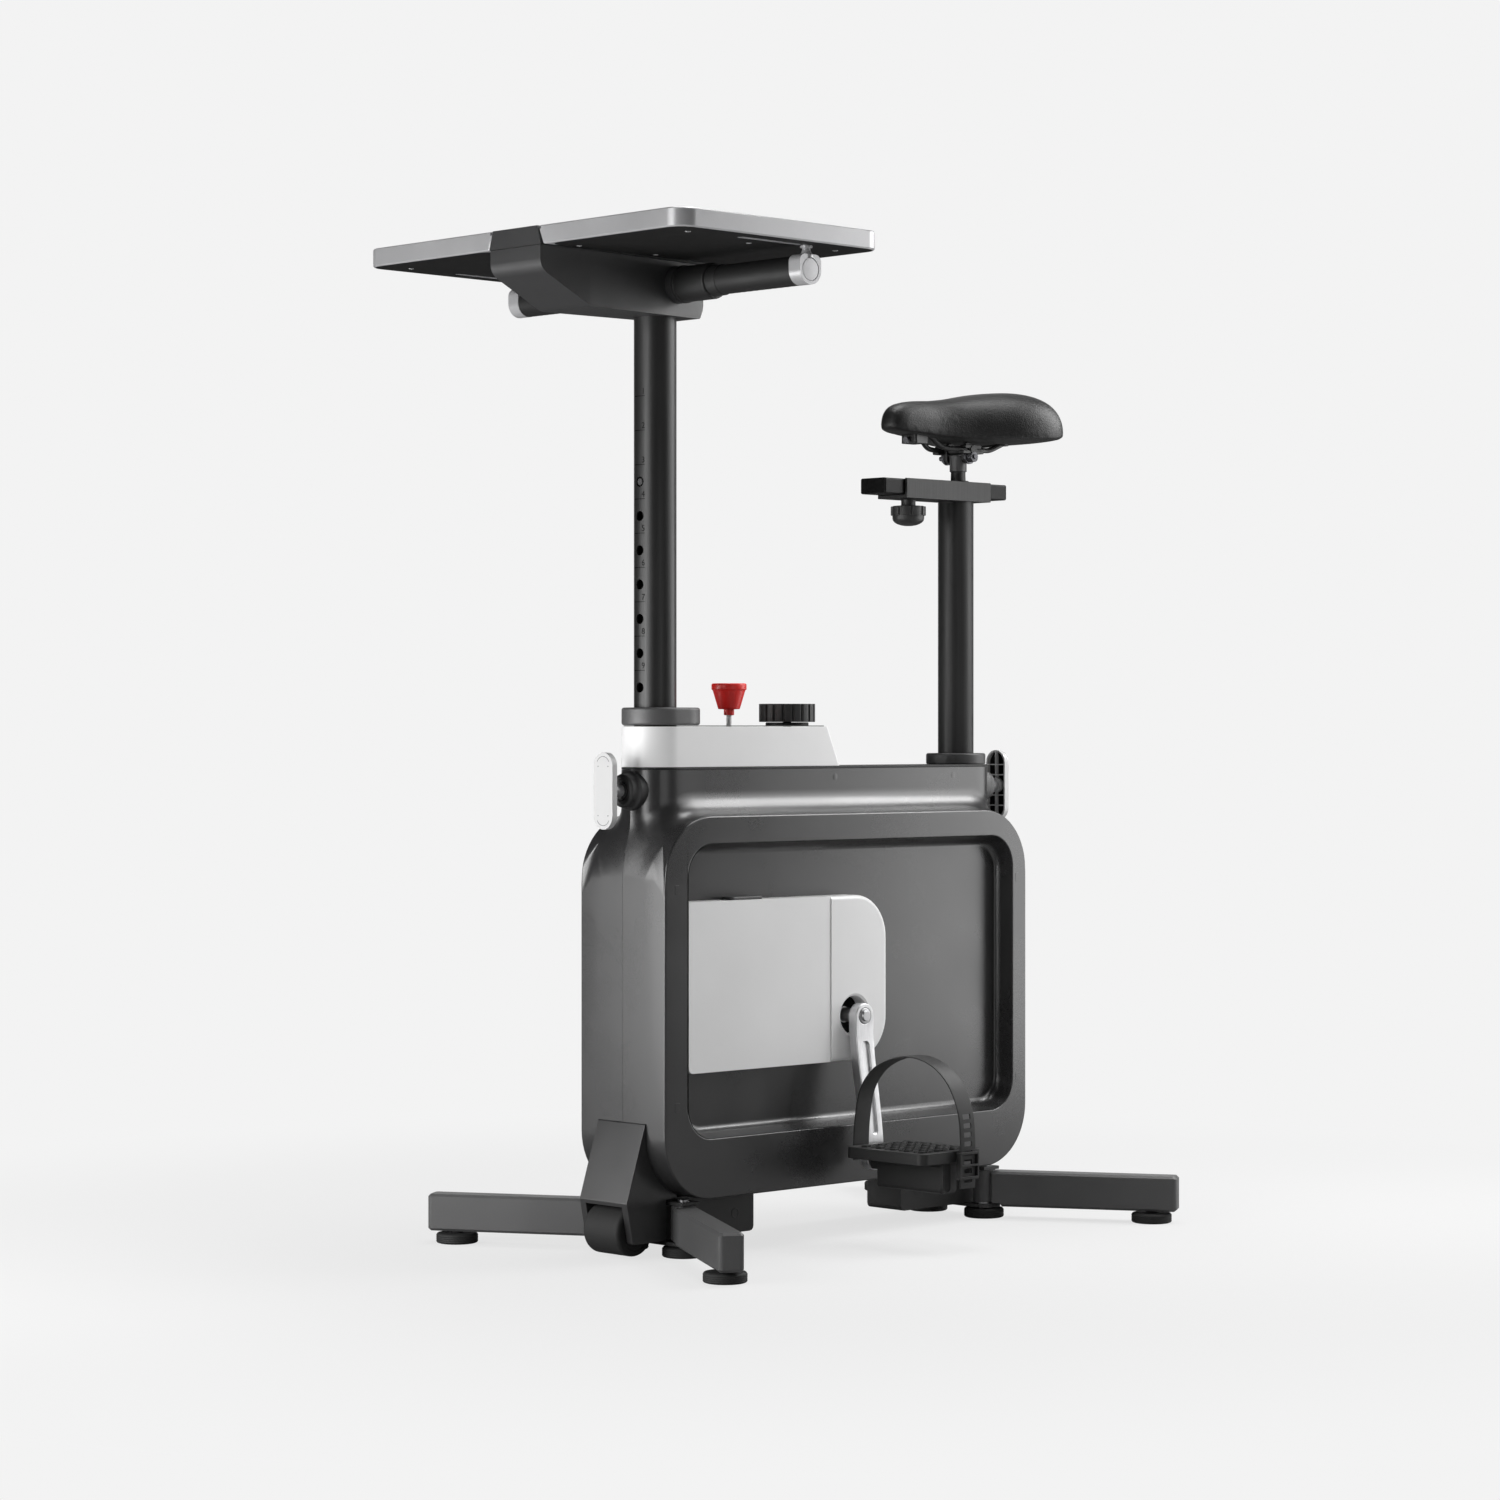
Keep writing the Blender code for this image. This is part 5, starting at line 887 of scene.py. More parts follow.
class BIKE_OT_covers(bpy.types.Operator):
    """Builds the light covers in the recess, with the seam, the latch and the crank hole"""

    bl_idname = "bike.covers"
    bl_label = "Drive covers"

    def execute(self, context):
        sizes = context.scene.bike_sizes
        inner, seam_x = -RECESS_Y, DESK_X + 0.220
        low, high = 0.214, 0.4125
        front_x = DESK_X - 0.0142
        outline = rounded([
            (front_x, low, 0.007), (seam_x - 0.0003, low, 0), (seam_x - 0.0003, high, 0),
            (front_x, high, 0),
        ])
        front = loose(prism(outline, inner, -BODY_HALF, "Y"), "belt_cover_left")
        mouth = rectangle(front_x, DESK_X + 0.5452, 0.1373, 0.4787, 0.0377, 14)
        floor = rectangle(DESK_X - 0.0050, DESK_X + 0.540, 0.148, 0.469, 0.031, 14)
        levels = ((floor, inner), (mouth, -0.0545), (mouth, -0.09))
        room = loft([[(x, y, z) for x, z in edge] for edge, y in levels])
        carve(front, room, "INTERSECT")
        close(front, "white_moulding", "frame", "drive_cover_left", 0.0009, 3)
        twin(front, "frame", "drive_cover_right")
        outer = -BODY_HALF - 0.0012
        outline = rounded([
            (seam_x + 0.0003, low, 0), (DESK_X + 0.317, low, 0.052),
            (DESK_X + 0.317, high, 0.052), (seam_x + 0.0003, high, 0),
        ], 18)
        rear = loose(prism(outline, inner, outer, "Y"), "crank_case_left")
        roll_edges(rear, outer, sizes.cover_roll, 6, seam_x)
        hole = turned(
            [(0.0262, -0.0755), (0.0262, -0.0733), (0.0235, -0.0716), (0.0235, -0.055),
             (0, -0.055)], CRANK, "Y", 64,
        )
        bmesh.ops.edgeloop_fill(hole, edges=[edge for edge in hole.edges if edge.is_boundary])
        carve(rear, hole)
        close(rear, "white_moulding", "frame", "crank_cover_left", 0.0005, 2, 40)
        twin(rear, "frame", "crank_cover_right")
        # A near-black cup at the inner end of the crank hole: painted shade inside the hole.
        hole_shade_cup = [(0.0098, -0.0555), (0.0233, -0.0555), (0.0233, -0.0552), (0.0098, -0.0552)]
        pair("crank_hole_back_left", turned(hole_shade_cup, CRANK, "Y", 48, ring=True), "hole_shade", "frame")
        tab = rectangle(DESK_X + 0.058, DESK_X + 0.110, -0.0690, -0.0500, 0.004, 6)
        tab = prism(tab, 0.4127, 0.4162, "Z")
        pair("cover_latch_left", tab, "dark_moulding", "frame", "", 0.001)
        return {"FINISHED"}


# Crank set, pedals and straps

def arm_shift(drop):
    """How far the crank arm has moved outwards at this drop below the spindle."""
    part = min(max((drop - 0.022) / (CRANK_LENGTH - 0.042), 0), 1)
    return 0.018 * (part * part * (3 - 2 * part) * 0.35 + part * 0.65)


def arm_form(outline, inner, outer, cuts=16):
    """A plate along the crank, bent outwards on its way to the pedal."""
    form = prism(outline, -inner, -outer, "Y")
    for step in range(cuts + 1):
        drop = 0.022 + (CRANK_LENGTH - 0.042) * step / cuts
        bmesh.ops.bisect_plane(
            form, geom=form.verts[:] + form.edges[:] + form.faces[:],
            plane_co=(0, 0, CRANK_Z - drop), plane_no=(0, 0, 1),
        )
    for vert in form.verts:
        vert.co.y -= arm_shift(CRANK_Z - vert.co.z)
    return form


HALF_TURN = (
    Matrix.Translation((CRANK_X, 0, CRANK_Z)) @ Matrix.Rotation(math.pi, 4, "Y")
    @ Matrix.Translation((-CRANK_X, 0, -CRANK_Z))
)
LIFT = Matrix.Translation((0, 0, 2 * CRANK_LENGTH))


class BIKE_OT_cranks(bpy.types.Operator):
    """Builds the crank arms with their grooves, spindle bolts and pedal axles"""

    bl_idname = "bike.cranks"
    bl_label = "Cranks"

    def execute(self, context):
        centre, foot = (CRANK_X, CRANK_Z), (CRANK_X, CRANK_Z - CRANK_LENGTH)
        inner, outer = 0.0775, 0.0905
        groove = band((CRANK_X, CRANK_Z - 0.036), 0.0058, (CRANK_X, foot[1] + 0.034), 0.0046, 12)
        groove = arm_form(groove, outer - 0.0028, outer + 0.004)
        arm = arm_form(band(centre, 0.015, foot, 0.0135, 24), inner, outer)
        pair(
            "crank_arm_left", arm, "alloy", "crankset", "crank_left", 0.0011, 3,
            [groove, peg(CRANK, 0.0098, -0.06, -0.12, "Y", 40)], turn=HALF_TURN,
        )
        axle = turned(
            [(0, -0.0965), (0.0085, -0.0965), (0.0085, -0.1005), (0.0075, -0.1010),
             (0.0050, -0.1010), (0.0050, -0.2195), (0, -0.2195)],
            (CRANK_X, 0, foot[1]), "Y", 32,
        )
        pair("pedal_axle_left", axle, "steel", "crankset", turn=HALF_TURN)
        profile = [
            (0.0035, -0.0895), (0.0035, -0.0925), (0.0052, -0.0940), (0.0060, -0.0936),
            (0.0066, -0.0922), (0.0066, -0.0912), (0.0088, -0.0912), (0.0095, -0.0906),
            (0.0095, -0.0890), (0.0080, -0.0890), (0.0080, -0.0600), (0.0035, -0.0600),
        ]
        bolt = turned(profile, CRANK, "Y", 40, ring=True)
        pair("crank_bolt_left", bolt, "steel", "crankset", turn=HALF_TURN)
        keep("crank_spindle", "steel", 0.0004)
        keep("flywheel", "iron", 0.0005)
        keep("drive_belt", "rubber", 0.0003)
        return {"FINISHED"}


def strap_path():
    """Centre line of the left toe strap as (x, y, z) from the pedal axle, in small steps."""
    knots = (
        (-0.028, 0.1108, 0.002), (-0.028, 0.1108, 0.020), (-0.026, 0.1110, 0.050),
        (-0.021, 0.1145, 0.085), (-0.014, 0.1290, 0.110), (-0.006, 0.1530, 0.1235),
        (0.002, 0.1800, 0.1260), (0.008, 0.2060, 0.1160), (0.012, 0.2270, 0.0950),
        (0.014, 0.2400, 0.0650), (0.014, 0.2440, 0.0350), (0.014, 0.2440, 0.0050),
        (0.014, 0.2440, -0.0250),
    )
    return [Vector(point) for point in flowing(knots, 6)]


def band_form(path, half, thickness, centre_z):
    """A flat band along the strap's path."""
    rings = []
    for index, point in enumerate(path):
        along = path[min(index + 1, len(path) - 1)] - path[max(index - 1, 0)]
        out = Vector((0, along.z, -along.y)).normalized() * thickness / 2
        ring = []
        for side, face in (
            (-1, -0.5), (-0.94, -1), (0.94, -1), (1, -0.5), (1, 0.5), (0.94, 1), (-0.94, 1), (-1, 0.5)
        ):
            spot = point + Vector((side * half, 0, 0)) + out * face
            ring.append((CRANK_X + spot.x, -spot.y, centre_z + spot.z))
        rings.append(ring)
    return loft(rings)


class BIKE_OT_pedals(bpy.types.Operator):
    """Builds the pedals with their treads, weights, toe straps and buckles"""

    bl_idname = "bike.pedals"
    bl_label = "Pedals and toe straps"

    def execute(self, context):
        centre = CRANK_Z - CRANK_LENGTH
        left, right = CRANK_X - 0.058, CRANK_X + 0.047
        inner, outer = -0.1125, -0.2395
        platform = rectangle(left, right, outer, inner, 0.010)
        below = rectangle(left + 0.003, right - 0.003, outer + 0.003, inner - 0.003, 0.008)
        above = rectangle(left + 0.007, right - 0.007, outer + 0.007, inner - 0.007, 0.005)
        self.part(
            "pedal_body_left", prism(platform, centre + 0.006, centre + 0.0195, "Z"), "pedal_left",
            0.0022, 3, [
                prism(below, centre - 0.01, centre + 0.015, "Z"),
                prism(above, centre + 0.0182, centre + 0.03, "Z"),
            ],
        )
        hub = slab(CRANK_X, 0.014, centre - 0.0108, centre + 0.0150, 0.004, 5)
        self.part(
            "pedal_hub_left", prism(hub, inner - 0.001, outer + 0.012, "Y"), "", 0.0012, 2,
            [peg((CRANK_X, outer + 0.018, centre), 0.0053, 0, 0.112, "Y", 28)],
        )
        tread = self.tread(centre, left, right, inner, outer)
        self.part("pedal_tread_left", tread, "", 0.0005, 2, finish="rubber")
        x = CRANK_X
        block = rectangle(x - 0.0150, x + 0.0135, centre - 0.0315, centre + 0.0040, 0.005, 6)
        block = prism(block, inner - 0.012, outer + 0.0121, "Y")
        self.part("pedal_ballast_left", block, "pedal_weight_left", 0.0012, 3)
        plate = rectangle(x - 0.0163, x - 0.0018, centre - 0.0307, centre + 0.0150, 0.0070, 12)
        plate = prism(plate, outer + 0.0117, outer + 0.0065, "Y")
        dish = rectangle(x - 0.0139, x - 0.0042, centre - 0.0283, centre + 0.0126, 0.0046, 12)
        dish = prism(dish, outer + 0.0073, outer - 0.01, "Y")
        self.part("pedal_end_plate_left", plate, "", 0.0010, 2, [dish])
        self.straps(centre)
        return {"FINISHED"}

    def part(self, name, form, *shape, finish="black_moulding"):
        """A piece of the left pedal and its twin on the right crank."""
        return pair(name, form, finish, "left_pedal", *shape, turn=LIFT)

    def tread(self, centre, left, right, inner, outer):
        """Rows of raised bars, some of them crossed, on a thin mat."""
        low = centre + 0.0178
        forms = [prism(
            rectangle(left + 0.0075, right - 0.0075, outer + 0.0075, inner - 0.0075, 0.0045, 5),
            low, low + 0.0009, "Z",
        )]
        rows, count = 6, 9
        wide = (right - left - 0.024) / rows
        long = (inner - outer - 0.024) / count
        for row in range(rows):
            for step in range(count):
                x = left + 0.012 + wide * (row + 0.5)
                y = outer + 0.012 + long * (step + 0.5)
                lean = 0.0022 if (row + step) % 2 else -0.0022
                near, far = x - wide * 0.36, x + wide * 0.36
                corners = [
                    (near - lean, y - long * 0.30), (far - lean, y - long * 0.10),
                    (far + lean, y + long * 0.30), (near + lean, y + long * 0.10),
                ]
                forms.append(prism(corners, low + 0.0005, centre + 0.0209, "Z"))
        return merged(*forms)

    def straps(self, centre):
        path = strap_path()
        holes = []
        for step in range(8):
            z = centre + 0.059 - 0.0106 * step
            hole = slab(CRANK_X + 0.014, 0.0066, z - 0.0030, z + 0.0030, 0.0008, 3)
            holes.append(prism(hole, -0.228, -0.252, "Y"))
        strap = self.part(
            "toe_band_left", band_form(path, 0.013, 0.0020, centre), "toe_strap_left", 0, 2, holes,
            finish="strap_rubber",
        )
        x, y = CRANK_X + 0.014, -0.2440
        forms = []
        for side in (-1, 1):
            cheek = slab(x + side * 0.0148, 0.0013, centre - 0.014, centre + 0.018, 0.001, 3)
            forms.append(prism(cheek, y + 0.0034, y - 0.0040, "Y"))
        for z, thick in ((0.0165, 0.0016), (0.002, 0.0013), (-0.0125, 0.0016)):
            rung = slab(x, 0.0155, centre + z - thick, centre + z + thick, 0.001, 3)
            forms.append(prism(rung, y - 0.0014, y - 0.0042, "Y"))
        back = slab(x, 0.0155, centre + 0.0150, centre + 0.0185, 0.001, 3)
        forms.append(prism(back, y + 0.0034, y + 0.0014, "Y"))
        self.part("strap_buckle_left", merged(*forms), "", 0.0003, 1)
        low, high = centre + 0.0275, centre + 0.0345
        anchor = rectangle(CRANK_X - 0.0315, CRANK_X - 0.0245, low, high, 0.001, 3)
        self.part("strap_anchor_left", prism(anchor, -0.1098, -0.1088, "Y"), "", 0.0003, 1)


# Feet and transport wheel

def leg_matrix(post_x, way):
    """Turns a leg drawn along +X to its open place, at the left of a post."""
    angle = math.atan2(-math.sin(LEG_SPREAD), way * math.cos(LEG_SPREAD))
    return Matrix.Translation((post_x, LEG_Y, 0)) @ Matrix.Rotation(angle, 4, "Z")


def foot_form(neck_radius, neck_top):
    """A round pad with a ribbed side and a threaded neck, round the Z axis."""
    profile = [(0, 0), (0.0225, 0), (0.0240, 0.0006)]
    for step in range(4):
        z = 0.0016 + 0.0022 * step
        profile += [(0.0247, z), (0.0250, z + 0.0005), (0.0250, z + 0.0012), (0.0246, z + 0.0017)]
    profile += [
        (0.0243, 0.0108), (0.0232, 0.0118), (0.0215, 0.0120), (neck_radius + 0.002, 0.0120),
        (neck_radius, 0.0124), (neck_radius, neck_top), (0, neck_top),
    ]
    return turned(profile, (0, 0, 0), "Z", 56)


class BIKE_OT_feet(bpy.types.Operator):
    """Finishes the legs, the keels, the pads and the pivot hardware"""

    bl_idname = "bike.feet"
    bl_label = "Legs, keels and pads"

    def execute(self, context):
        for end, post_x, way in (("front", DESK_X, -1), ("rear", SADDLE_X, 1)):
            for side in ("left", "right"):
                keep(f"leg_{end}_{side}", "leg_paint", 0.0016, 3)
            pad = foot_form(0.007, 0.0144)
            bmesh.ops.translate(pad, verts=pad.verts, vec=(0.212, 0, 0))
            bmesh.ops.transform(pad, matrix=leg_matrix(post_x, way), verts=pad.verts)
            pair(f"foot_pad_{end}_left", pad, "rubber", f"{end}_left_leg", f"pad_{end}_left")
            foot = foot_form(0.012, 0.0130)
            bmesh.ops.translate(foot, verts=foot.verts, vec=(post_x, LEG_Y, 0))
            pair(f"keel_pad_{end}_left", foot, "rubber", "frame", f"foot_{end}_left")
            keep(f"keel_{end}", "keel_paint", 0.0010, 2)
            self.pivot(end, post_x)
        self.keel_marks()
        return {"FINISHED"}

    def pivot(self, end, post_x):
        """Washers over and under the barrel, and the bolt head on the bridge plate."""
        rings = []
        for low, high, outer in ((0.05955, 0.05995, 0.0132), (0.0168, 0.0193, 0.0118)):
            rings.append(turned(
                [(0.0052, low), (outer - 0.0002, low), (outer, (low + high) / 2),
                 (outer - 0.0002, high), (0.0052, high)], (post_x, LEG_Y, 0), "Z", 40, ring=True,
            ))
        pair(f"pivot_washers_{end}_left", merged(*rings), "steel", "frame")
        head = turned(
            [(0, 0.0640), (0.0068, 0.0640), (0.0068, 0.0662), (0.0058, 0.0668), (0, 0.0668)],
            (post_x, LEG_Y, 0), "Z", 32,
        )
        pair(f"pivot_bolt_{end}_left", head, "steel", "frame")

    def keel_marks(self):
        for index, x in enumerate((DESK_X + 0.102, SADDLE_X - 0.102)):
            profile = [(0.0048, 0.0285), (0.0062, 0.0285), (0.0062, 0.0293), (0.0058, 0.0295),
                       (0.0052, 0.0295), (0.0048, 0.0293)]
            along = [(radius, -reach) for radius, reach in profile]
            mark = turned(along, (x, 0, 0.0397), "Y", 32, ring=True)
            pair(f"keel_boss_left_{index}", mark, "keel_paint", "frame")


class BIKE_OT_wheel(bpy.types.Operator):
    """Finishes the wheel housing and builds the transport wheel"""

    bl_idname = "bike.wheel"
    bl_label = "Transport wheel"

    def execute(self, context):
        keep("wheel_housing", "casing_paint", 0.0014, 3)
        half = 0.030
        profile = [(0.00515, -half), (0.012, -half), (0.0125, -half + 0.001),
                   (0.0225, -half + 0.001), (0.0230, -half)]
        for start, centre_y in ((-90, -half + 0.0045), (0, half - 0.0045)):
            profile += arc((0.0245, centre_y), 0.0045, start, start + 90, 6)
        profile += [(0.0230, half), (0.0225, half - 0.001), (0.0125, half - 0.001), (0.012, half),
                    (0.00515, half)]
        roller = add(
            "roller", turned(profile, (WHEEL.x, 0, WHEEL.z), "Y", 64, ring=True), "rubber", "wheel",
            "transport_wheel",
        )
        return {"FINISHED"}


# Posts and pull pins

class BIKE_OT_posts(bpy.types.Operator):
    """Builds the two posts with their holes, scale marks and numerals"""

    bl_idname = "bike.posts"
    bl_label = "Posts"

    def execute(self, context):
        tube = [(0.0225, 0.470), (0.0246, 0.470), (0.025, 0.4704), (0.025, 1.131), (0.0225, 1.131)]
        holes = []
        for step in range(10):
            place = (DESK_X - DESK_RADIUS, 0, PIN_Z + HOLE_PITCH * step)
            holes.append(peg(place, 0.006, -0.008, 0.008, "X"))
        post = add(
            "desk_column_tube", turned(tube, (DESK_X, 0, 0), "Z", 72, ring=True), "post_paint",
            "desk_column", "desk_post", 0, 2, holes,
        )
        plug = turned(
            [(0, -0.0242), (0.0040, -0.0242), (0.0040, -0.0232), (0.0037, -0.0228), (0, -0.0226)],
            (DESK_X, 0, PIN_Z + 0.36), "X", 32,
        )
        add("top_hole_plug", plug, "dark_moulding", "desk_column")
        self.scale_marks()
        # Near-black cores inside both posts: painted shade seen through their pin holes.
        for name, x, radius, body, low, high in (
            ("desk_tube_bore", DESK_X, 0.0165, "desk_column", 0.475, 1.09),
            ("saddle_tube_bore", SADDLE_X, 0.0140, "saddle_column", 0.435, 0.89),
        ):
            add(name, peg((x, 0, 0), radius, low, high, "Z"), "hole_shade", body)
        keep("saddle_post", "saddle_post_paint", 0.0005, 2)
        return {"FINISHED"}

    def scale_marks(self):
        """Engraved ticks between the holes and the numerals 1 to 9 above them."""
        ticks, surface = [], 0.02512
        for step in range(9):
            z = PIN_Z + 0.140 + HOLE_PITCH * step
            rings = []
            for part in range(15):
                angle = math.radians(152 + 46 * part / 14)
                way = Vector((math.cos(angle), math.sin(angle), 0))
                foot = Vector((DESK_X, 0, z))
                rings.append([
                    foot + way * reach + Vector((0, 0, rise))
                    for reach, rise in (
                        (0.0247, -0.00035), (surface, -0.00035),
                        (surface, 0.00035), (0.0247, 0.00035),
                    )
                ])
            ticks.append(loft(rings))
            ticks.append(self.numeral(str(9 - step), math.radians(193), z + 0.0022, surface))
        add("height_scale", merged(*ticks), "marking", "desk_column")

    def numeral(self, digit, angle, z, surface, height=0.0072):
        """One numeral as a thin solid wrapped round the post."""
        letters = bpy.data.curves.new("numeral", "FONT")
        letters.body = digit
        letters.size = height * 1.4
        letters.extrude = 0.0002
        letters.resolution_u = 3
        letters.align_x = "CENTER"
        holder = bpy.data.objects.new("numeral", letters)
        bpy.context.scene.collection.objects.link(holder)
        bpy.context.view_layer.update()
        graph = bpy.context.evaluated_depsgraph_get()
        mesh = bpy.data.meshes.new_from_object(holder.evaluated_get(graph))
        form = bmesh.new()
        form.from_mesh(mesh)
        bpy.data.objects.remove(holder)
        bpy.data.curves.remove(letters)
        bpy.data.meshes.remove(mesh)
        for vert in form.verts:
            turn = angle + vert.co.x / DESK_RADIUS
            reach = surface - 0.0001 + vert.co.z * 0.4
            vert.co = Vector((
                DESK_X + reach * math.cos(turn), reach * math.sin(turn), z + vert.co.y,
            ))
        return form


class BIKE_OT_pins(bpy.types.Operator):
    """Builds the pull pins: a smooth handle outside, ribs on its back, rod and collar"""

    bl_idname = "bike.pins"
    bl_label = "Pull pins"

    def execute(self, context):
        for end, x, way, radius in (
            ("front", DESK_X, -1, DESK_RADIUS), ("rear", SADDLE_X, 1, SADDLE_RADIUS),
        ):
            body = f"{end}_pin"
            self.handle(end, x, way, body)
            start = radius + 0.0006
            profile = [
                (0, start), (0.0042, start), (0.0051, start + 0.001), (0.0051, start + 0.0085),
                (0.0068, start + 0.0085), (0.0068, 0.079), (0, 0.079),
            ]
            rod = turned([(size, way * reach) for size, reach in profile], (x, 0, PIN_Z), "X", 32)
            add(f"pin_rod_{end}", rod, "silver_paint", body)
            root = NECK_HALF - 0.008
            profile = [
                (0.00695, root), (0.0235, root), (0.0235, root + 0.0106), (0.0229, root + 0.0118),
                (0.0216, root + 0.0126), (0.0196, root + 0.0148), (0.0195, root + 0.0204),
                (0.0188, root + 0.0216), (0.0172, root + 0.0232), (0.0160, root + 0.0235),
                (0.0125, root + 0.0235), (0.0118, root + 0.0225), (0.0105, root + 0.0222),
                (0.0098, root + 0.0235), (0.00695, root + 0.0235),
            ]
            collar = turned(
                [(size, way * reach) for size, reach in profile], (x, 0, PIN_Z), "X", 56, ring=True
            )
            add(
                f"pin_gland_{end}", collar, "dark_moulding", "frame", f"pin_collar_{end}", 0, 2,
                [prism(circle((x, 0), NECK_HALF + 0.0006, 72), 0.50, 0.60, "Z")],
            )
        return {"FINISHED"}

    def capsule(self, inset):
        half, radius = (0.089 - 0.032) / 2, 0.016 - inset
        outline = arc((0, PIN_Z - half), radius, 180, 360, 20)
        return outline + arc((0, PIN_Z + half), radius, 0, 180, 20)

    def handle(self, end, x, way, body):
        face, back = x + way * 0.0824, x + way * 0.0749
        pocket = prism(self.capsule(0.0022), back - way * 0.002, face - way * 0.0022, "X")
        plate = loose(prism(self.capsule(0), back, face, "X"), f"pin_grip_{end}")
        carve(plate, pocket)
        # A near-black sheet at the bottom of the handle's pockets: painted shade.
        base = prism(self.capsule(0.0024), face - way * 0.0023, face - way * 0.0018, "X")
        add(f"pin_grip_base_{end}", base, "hole_shade", body)
        upright = slab(0, 0.0007, PIN_Z - 0.043, PIN_Z + 0.043)
        carve(plate, prism(upright, back, face - way * 0.002, "X"), "UNION")
        for offset in (-0.026, -0.013, 0.013, 0.026):
            reach = 0.0146
            rib = slab(0, reach, PIN_Z + offset - 0.0007, PIN_Z + offset + 0.0007)
            carve(plate, prism(rib, back, face - way * 0.002, "X"), "UNION")
        boss = peg((x, 0, PIN_Z), 0.0092, way * 0.0745, way * 0.0805, "X", 36)
        carve(plate, boss, "UNION")
        close(plate, "pin_paint", body, f"pull_pin_{end}", 0.0011, 3)
        marks = []
        for sign in (-1, 1):
            centre_z = PIN_Z + sign * 0.0285
            rings = []
            for step in range(21):
                angle = math.radians(90 - 62 + 124 * step / 20)
                across, up = math.cos(angle), sign * math.sin(angle)
                rings.append([
                    (x + way * reach, radius * across, centre_z + radius * up)
                    for radius, reach in (
                        (0.0112, 0.0822), (0.0112, 0.08255), (0.0118, 0.08255), (0.0118, 0.0822),
                    )
                ])
            marks.append(loft(rings))
            dot = [(0, 0.0822), (0.0008, 0.0822), (0.0007, 0.0826), (0, 0.0827)]
            dot = [(radius, way * reach) for radius, reach in dot]
            for across in (-0.0085, 0.0085):
                marks.append(turned(dot, (x, across, centre_z), "X", 12))
        add(f"pin_grip_marks_{end}", merged(*marks), "iron", body)


# Head, handles and desk

class BIKE_OT_handles(bpy.types.Operator):
    """Finishes the head and builds the handles and their end caps"""

    bl_idname = "bike.handles"
    bl_label = "Head and handles"

    def execute(self, context):
        keep("head_housing", "dark_moulding", 0.0022, 3)
        profile = [
            (0, 0.0430), (0.0212, 0.0430), (0.0222, 0.0436), (0.0222, 0.0452),
            (0.0212, 0.0460), (0.0210, 0.0468), (0.0210, 0.0925), (0.0206, 0.0942),
            (0.0196, 0.0950), (0.0182, 0.0952), (0.0180, 0.0960), (0.0180, 0.1092),
            (0.0176, 0.1104), (0.0168, 0.1110),
        ]
        for step in range(1, 24):
            profile.append((0.01685 if step % 2 else 0.0170, 0.1110 + 0.1206 * step / 24))
        profile += [(0.0170, 0.2316), (0, 0.2316)]
        along = [(radius, -reach) for radius, reach in profile]
        grip = turned(along, (HANDLE_X, 0, HANDLE_Z), "Y", 56)
        pair("handle_grip_left", grip, "black_moulding", "desk_column", "handle_left")
        half = 0.017
        outline = rounded([
            (HANDLE_X - half, HANDLE_Z - half, 0.0165), (HANDLE_X + half, HANDLE_Z - half, 0.0165),
            (HANDLE_X + half, HANDLE_Z + half, 0.009), (HANDLE_X - half, HANDLE_Z + half, 0.009),
        ], 14)
        neck = turned([
            (0, HANDLE_Z + 0.010), (0.0085, HANDLE_Z + 0.010), (0.0085, HANDLE_Z + 0.0165),
            (0.0062, HANDLE_Z + 0.0185), (0.0048, HANDLE_Z + 0.0215), (0.0048, 1.1540),
            (0.0070, 1.1548), (0.0070, 1.1568), (0.0040, 1.1570), (0.0040, 1.1606), (0, 1.1606),
        ], (HANDLE_X, -0.243, 0), "Z", 36)
        pair(
            "grip_cap_left", prism(outline, -0.232, -0.250, "Y"), "silver_paint", "desk_column",
            "handle_cap_left", 0.0014, 3,
            [peg((HANDLE_X, 0, HANDLE_Z), 0.0132, -0.2490, -0.26, "Y", 48)], [neck],
        )
        disc = turned([
            (0, -0.2488), (0.0122, -0.2488), (0.0126, -0.2492), (0.0126, -0.2495),
            (0.0121, -0.2498), (0, -0.2498),
        ], (HANDLE_X, 0, HANDLE_Z), "Y", 48)
        pair("grip_cap_disc_left", disc, "silver_paint", "desk_column")
        return {"FINISHED"}


class BIKE_OT_desk(bpy.types.Operator):
    """Finishes the desk's spine and leaves, with the panel and screws under them"""

    bl_idname = "bike.desk"
    bl_label = "Desk"

    def execute(self, context):
        keep("desk_spine", "dark_moulding", 0.0008, 2)
        for side, sign in (("left", -1), ("right", 1)):
            body = f"leaf_{side}"
            self.leaf(side, sign, body)
            self.screws(side, sign, body)
        return {"FINISHED"}

    def leaf(self, side, sign, body):
        """The CAD leaf with a rounded rim, silver at its edge and dark below."""
        keep(f"desk_leaf_{side}", "silver_paint", 0.0012, 3)
        low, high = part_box(f"desk_leaf_{side}")
        reach = 0.2715
        inset = 0.0032
        y0, y1 = sorted((sign * 0.0500, sign * (reach - inset)))
        outline = rectangle(low.x + inset, high.x - inset, y0, y1, 0.021, 10)
        across = sign * 0.243
        slot = band((DESK_X - 0.0945, across), 0.0056, (DESK_X + 0.0065, across), 0.00559, 10)
        panel = add(
            f"desk_underside_{side}", prism(outline, 1.15735, 1.15775, "Z"), "underside", body,
            "", 0, 2, [prism(slot, 1.15, 1.17, "Z")],
        )

    def screws(self, side, sign, body):
        places = (
            (-0.175, 0.062), (-0.057, 0.062), (-0.173, 0.238), (-0.055, 0.213), (0.0625, 0.233),
        )
        profile = [
            (0, 1.1576), (0.0034, 1.1576), (0.0033, 1.15705), (0.0026, 1.15665),
            (0.0012, 1.1566), (0.0010, 1.1571), (0, 1.1571),
        ]
        heads = [turned(profile, (DESK_X + x, sign * y, 0), "Z", 24) for x, y in places]
        add(f"underside_screws_{side}", merged(*heads), "steel", body)


# Saddle

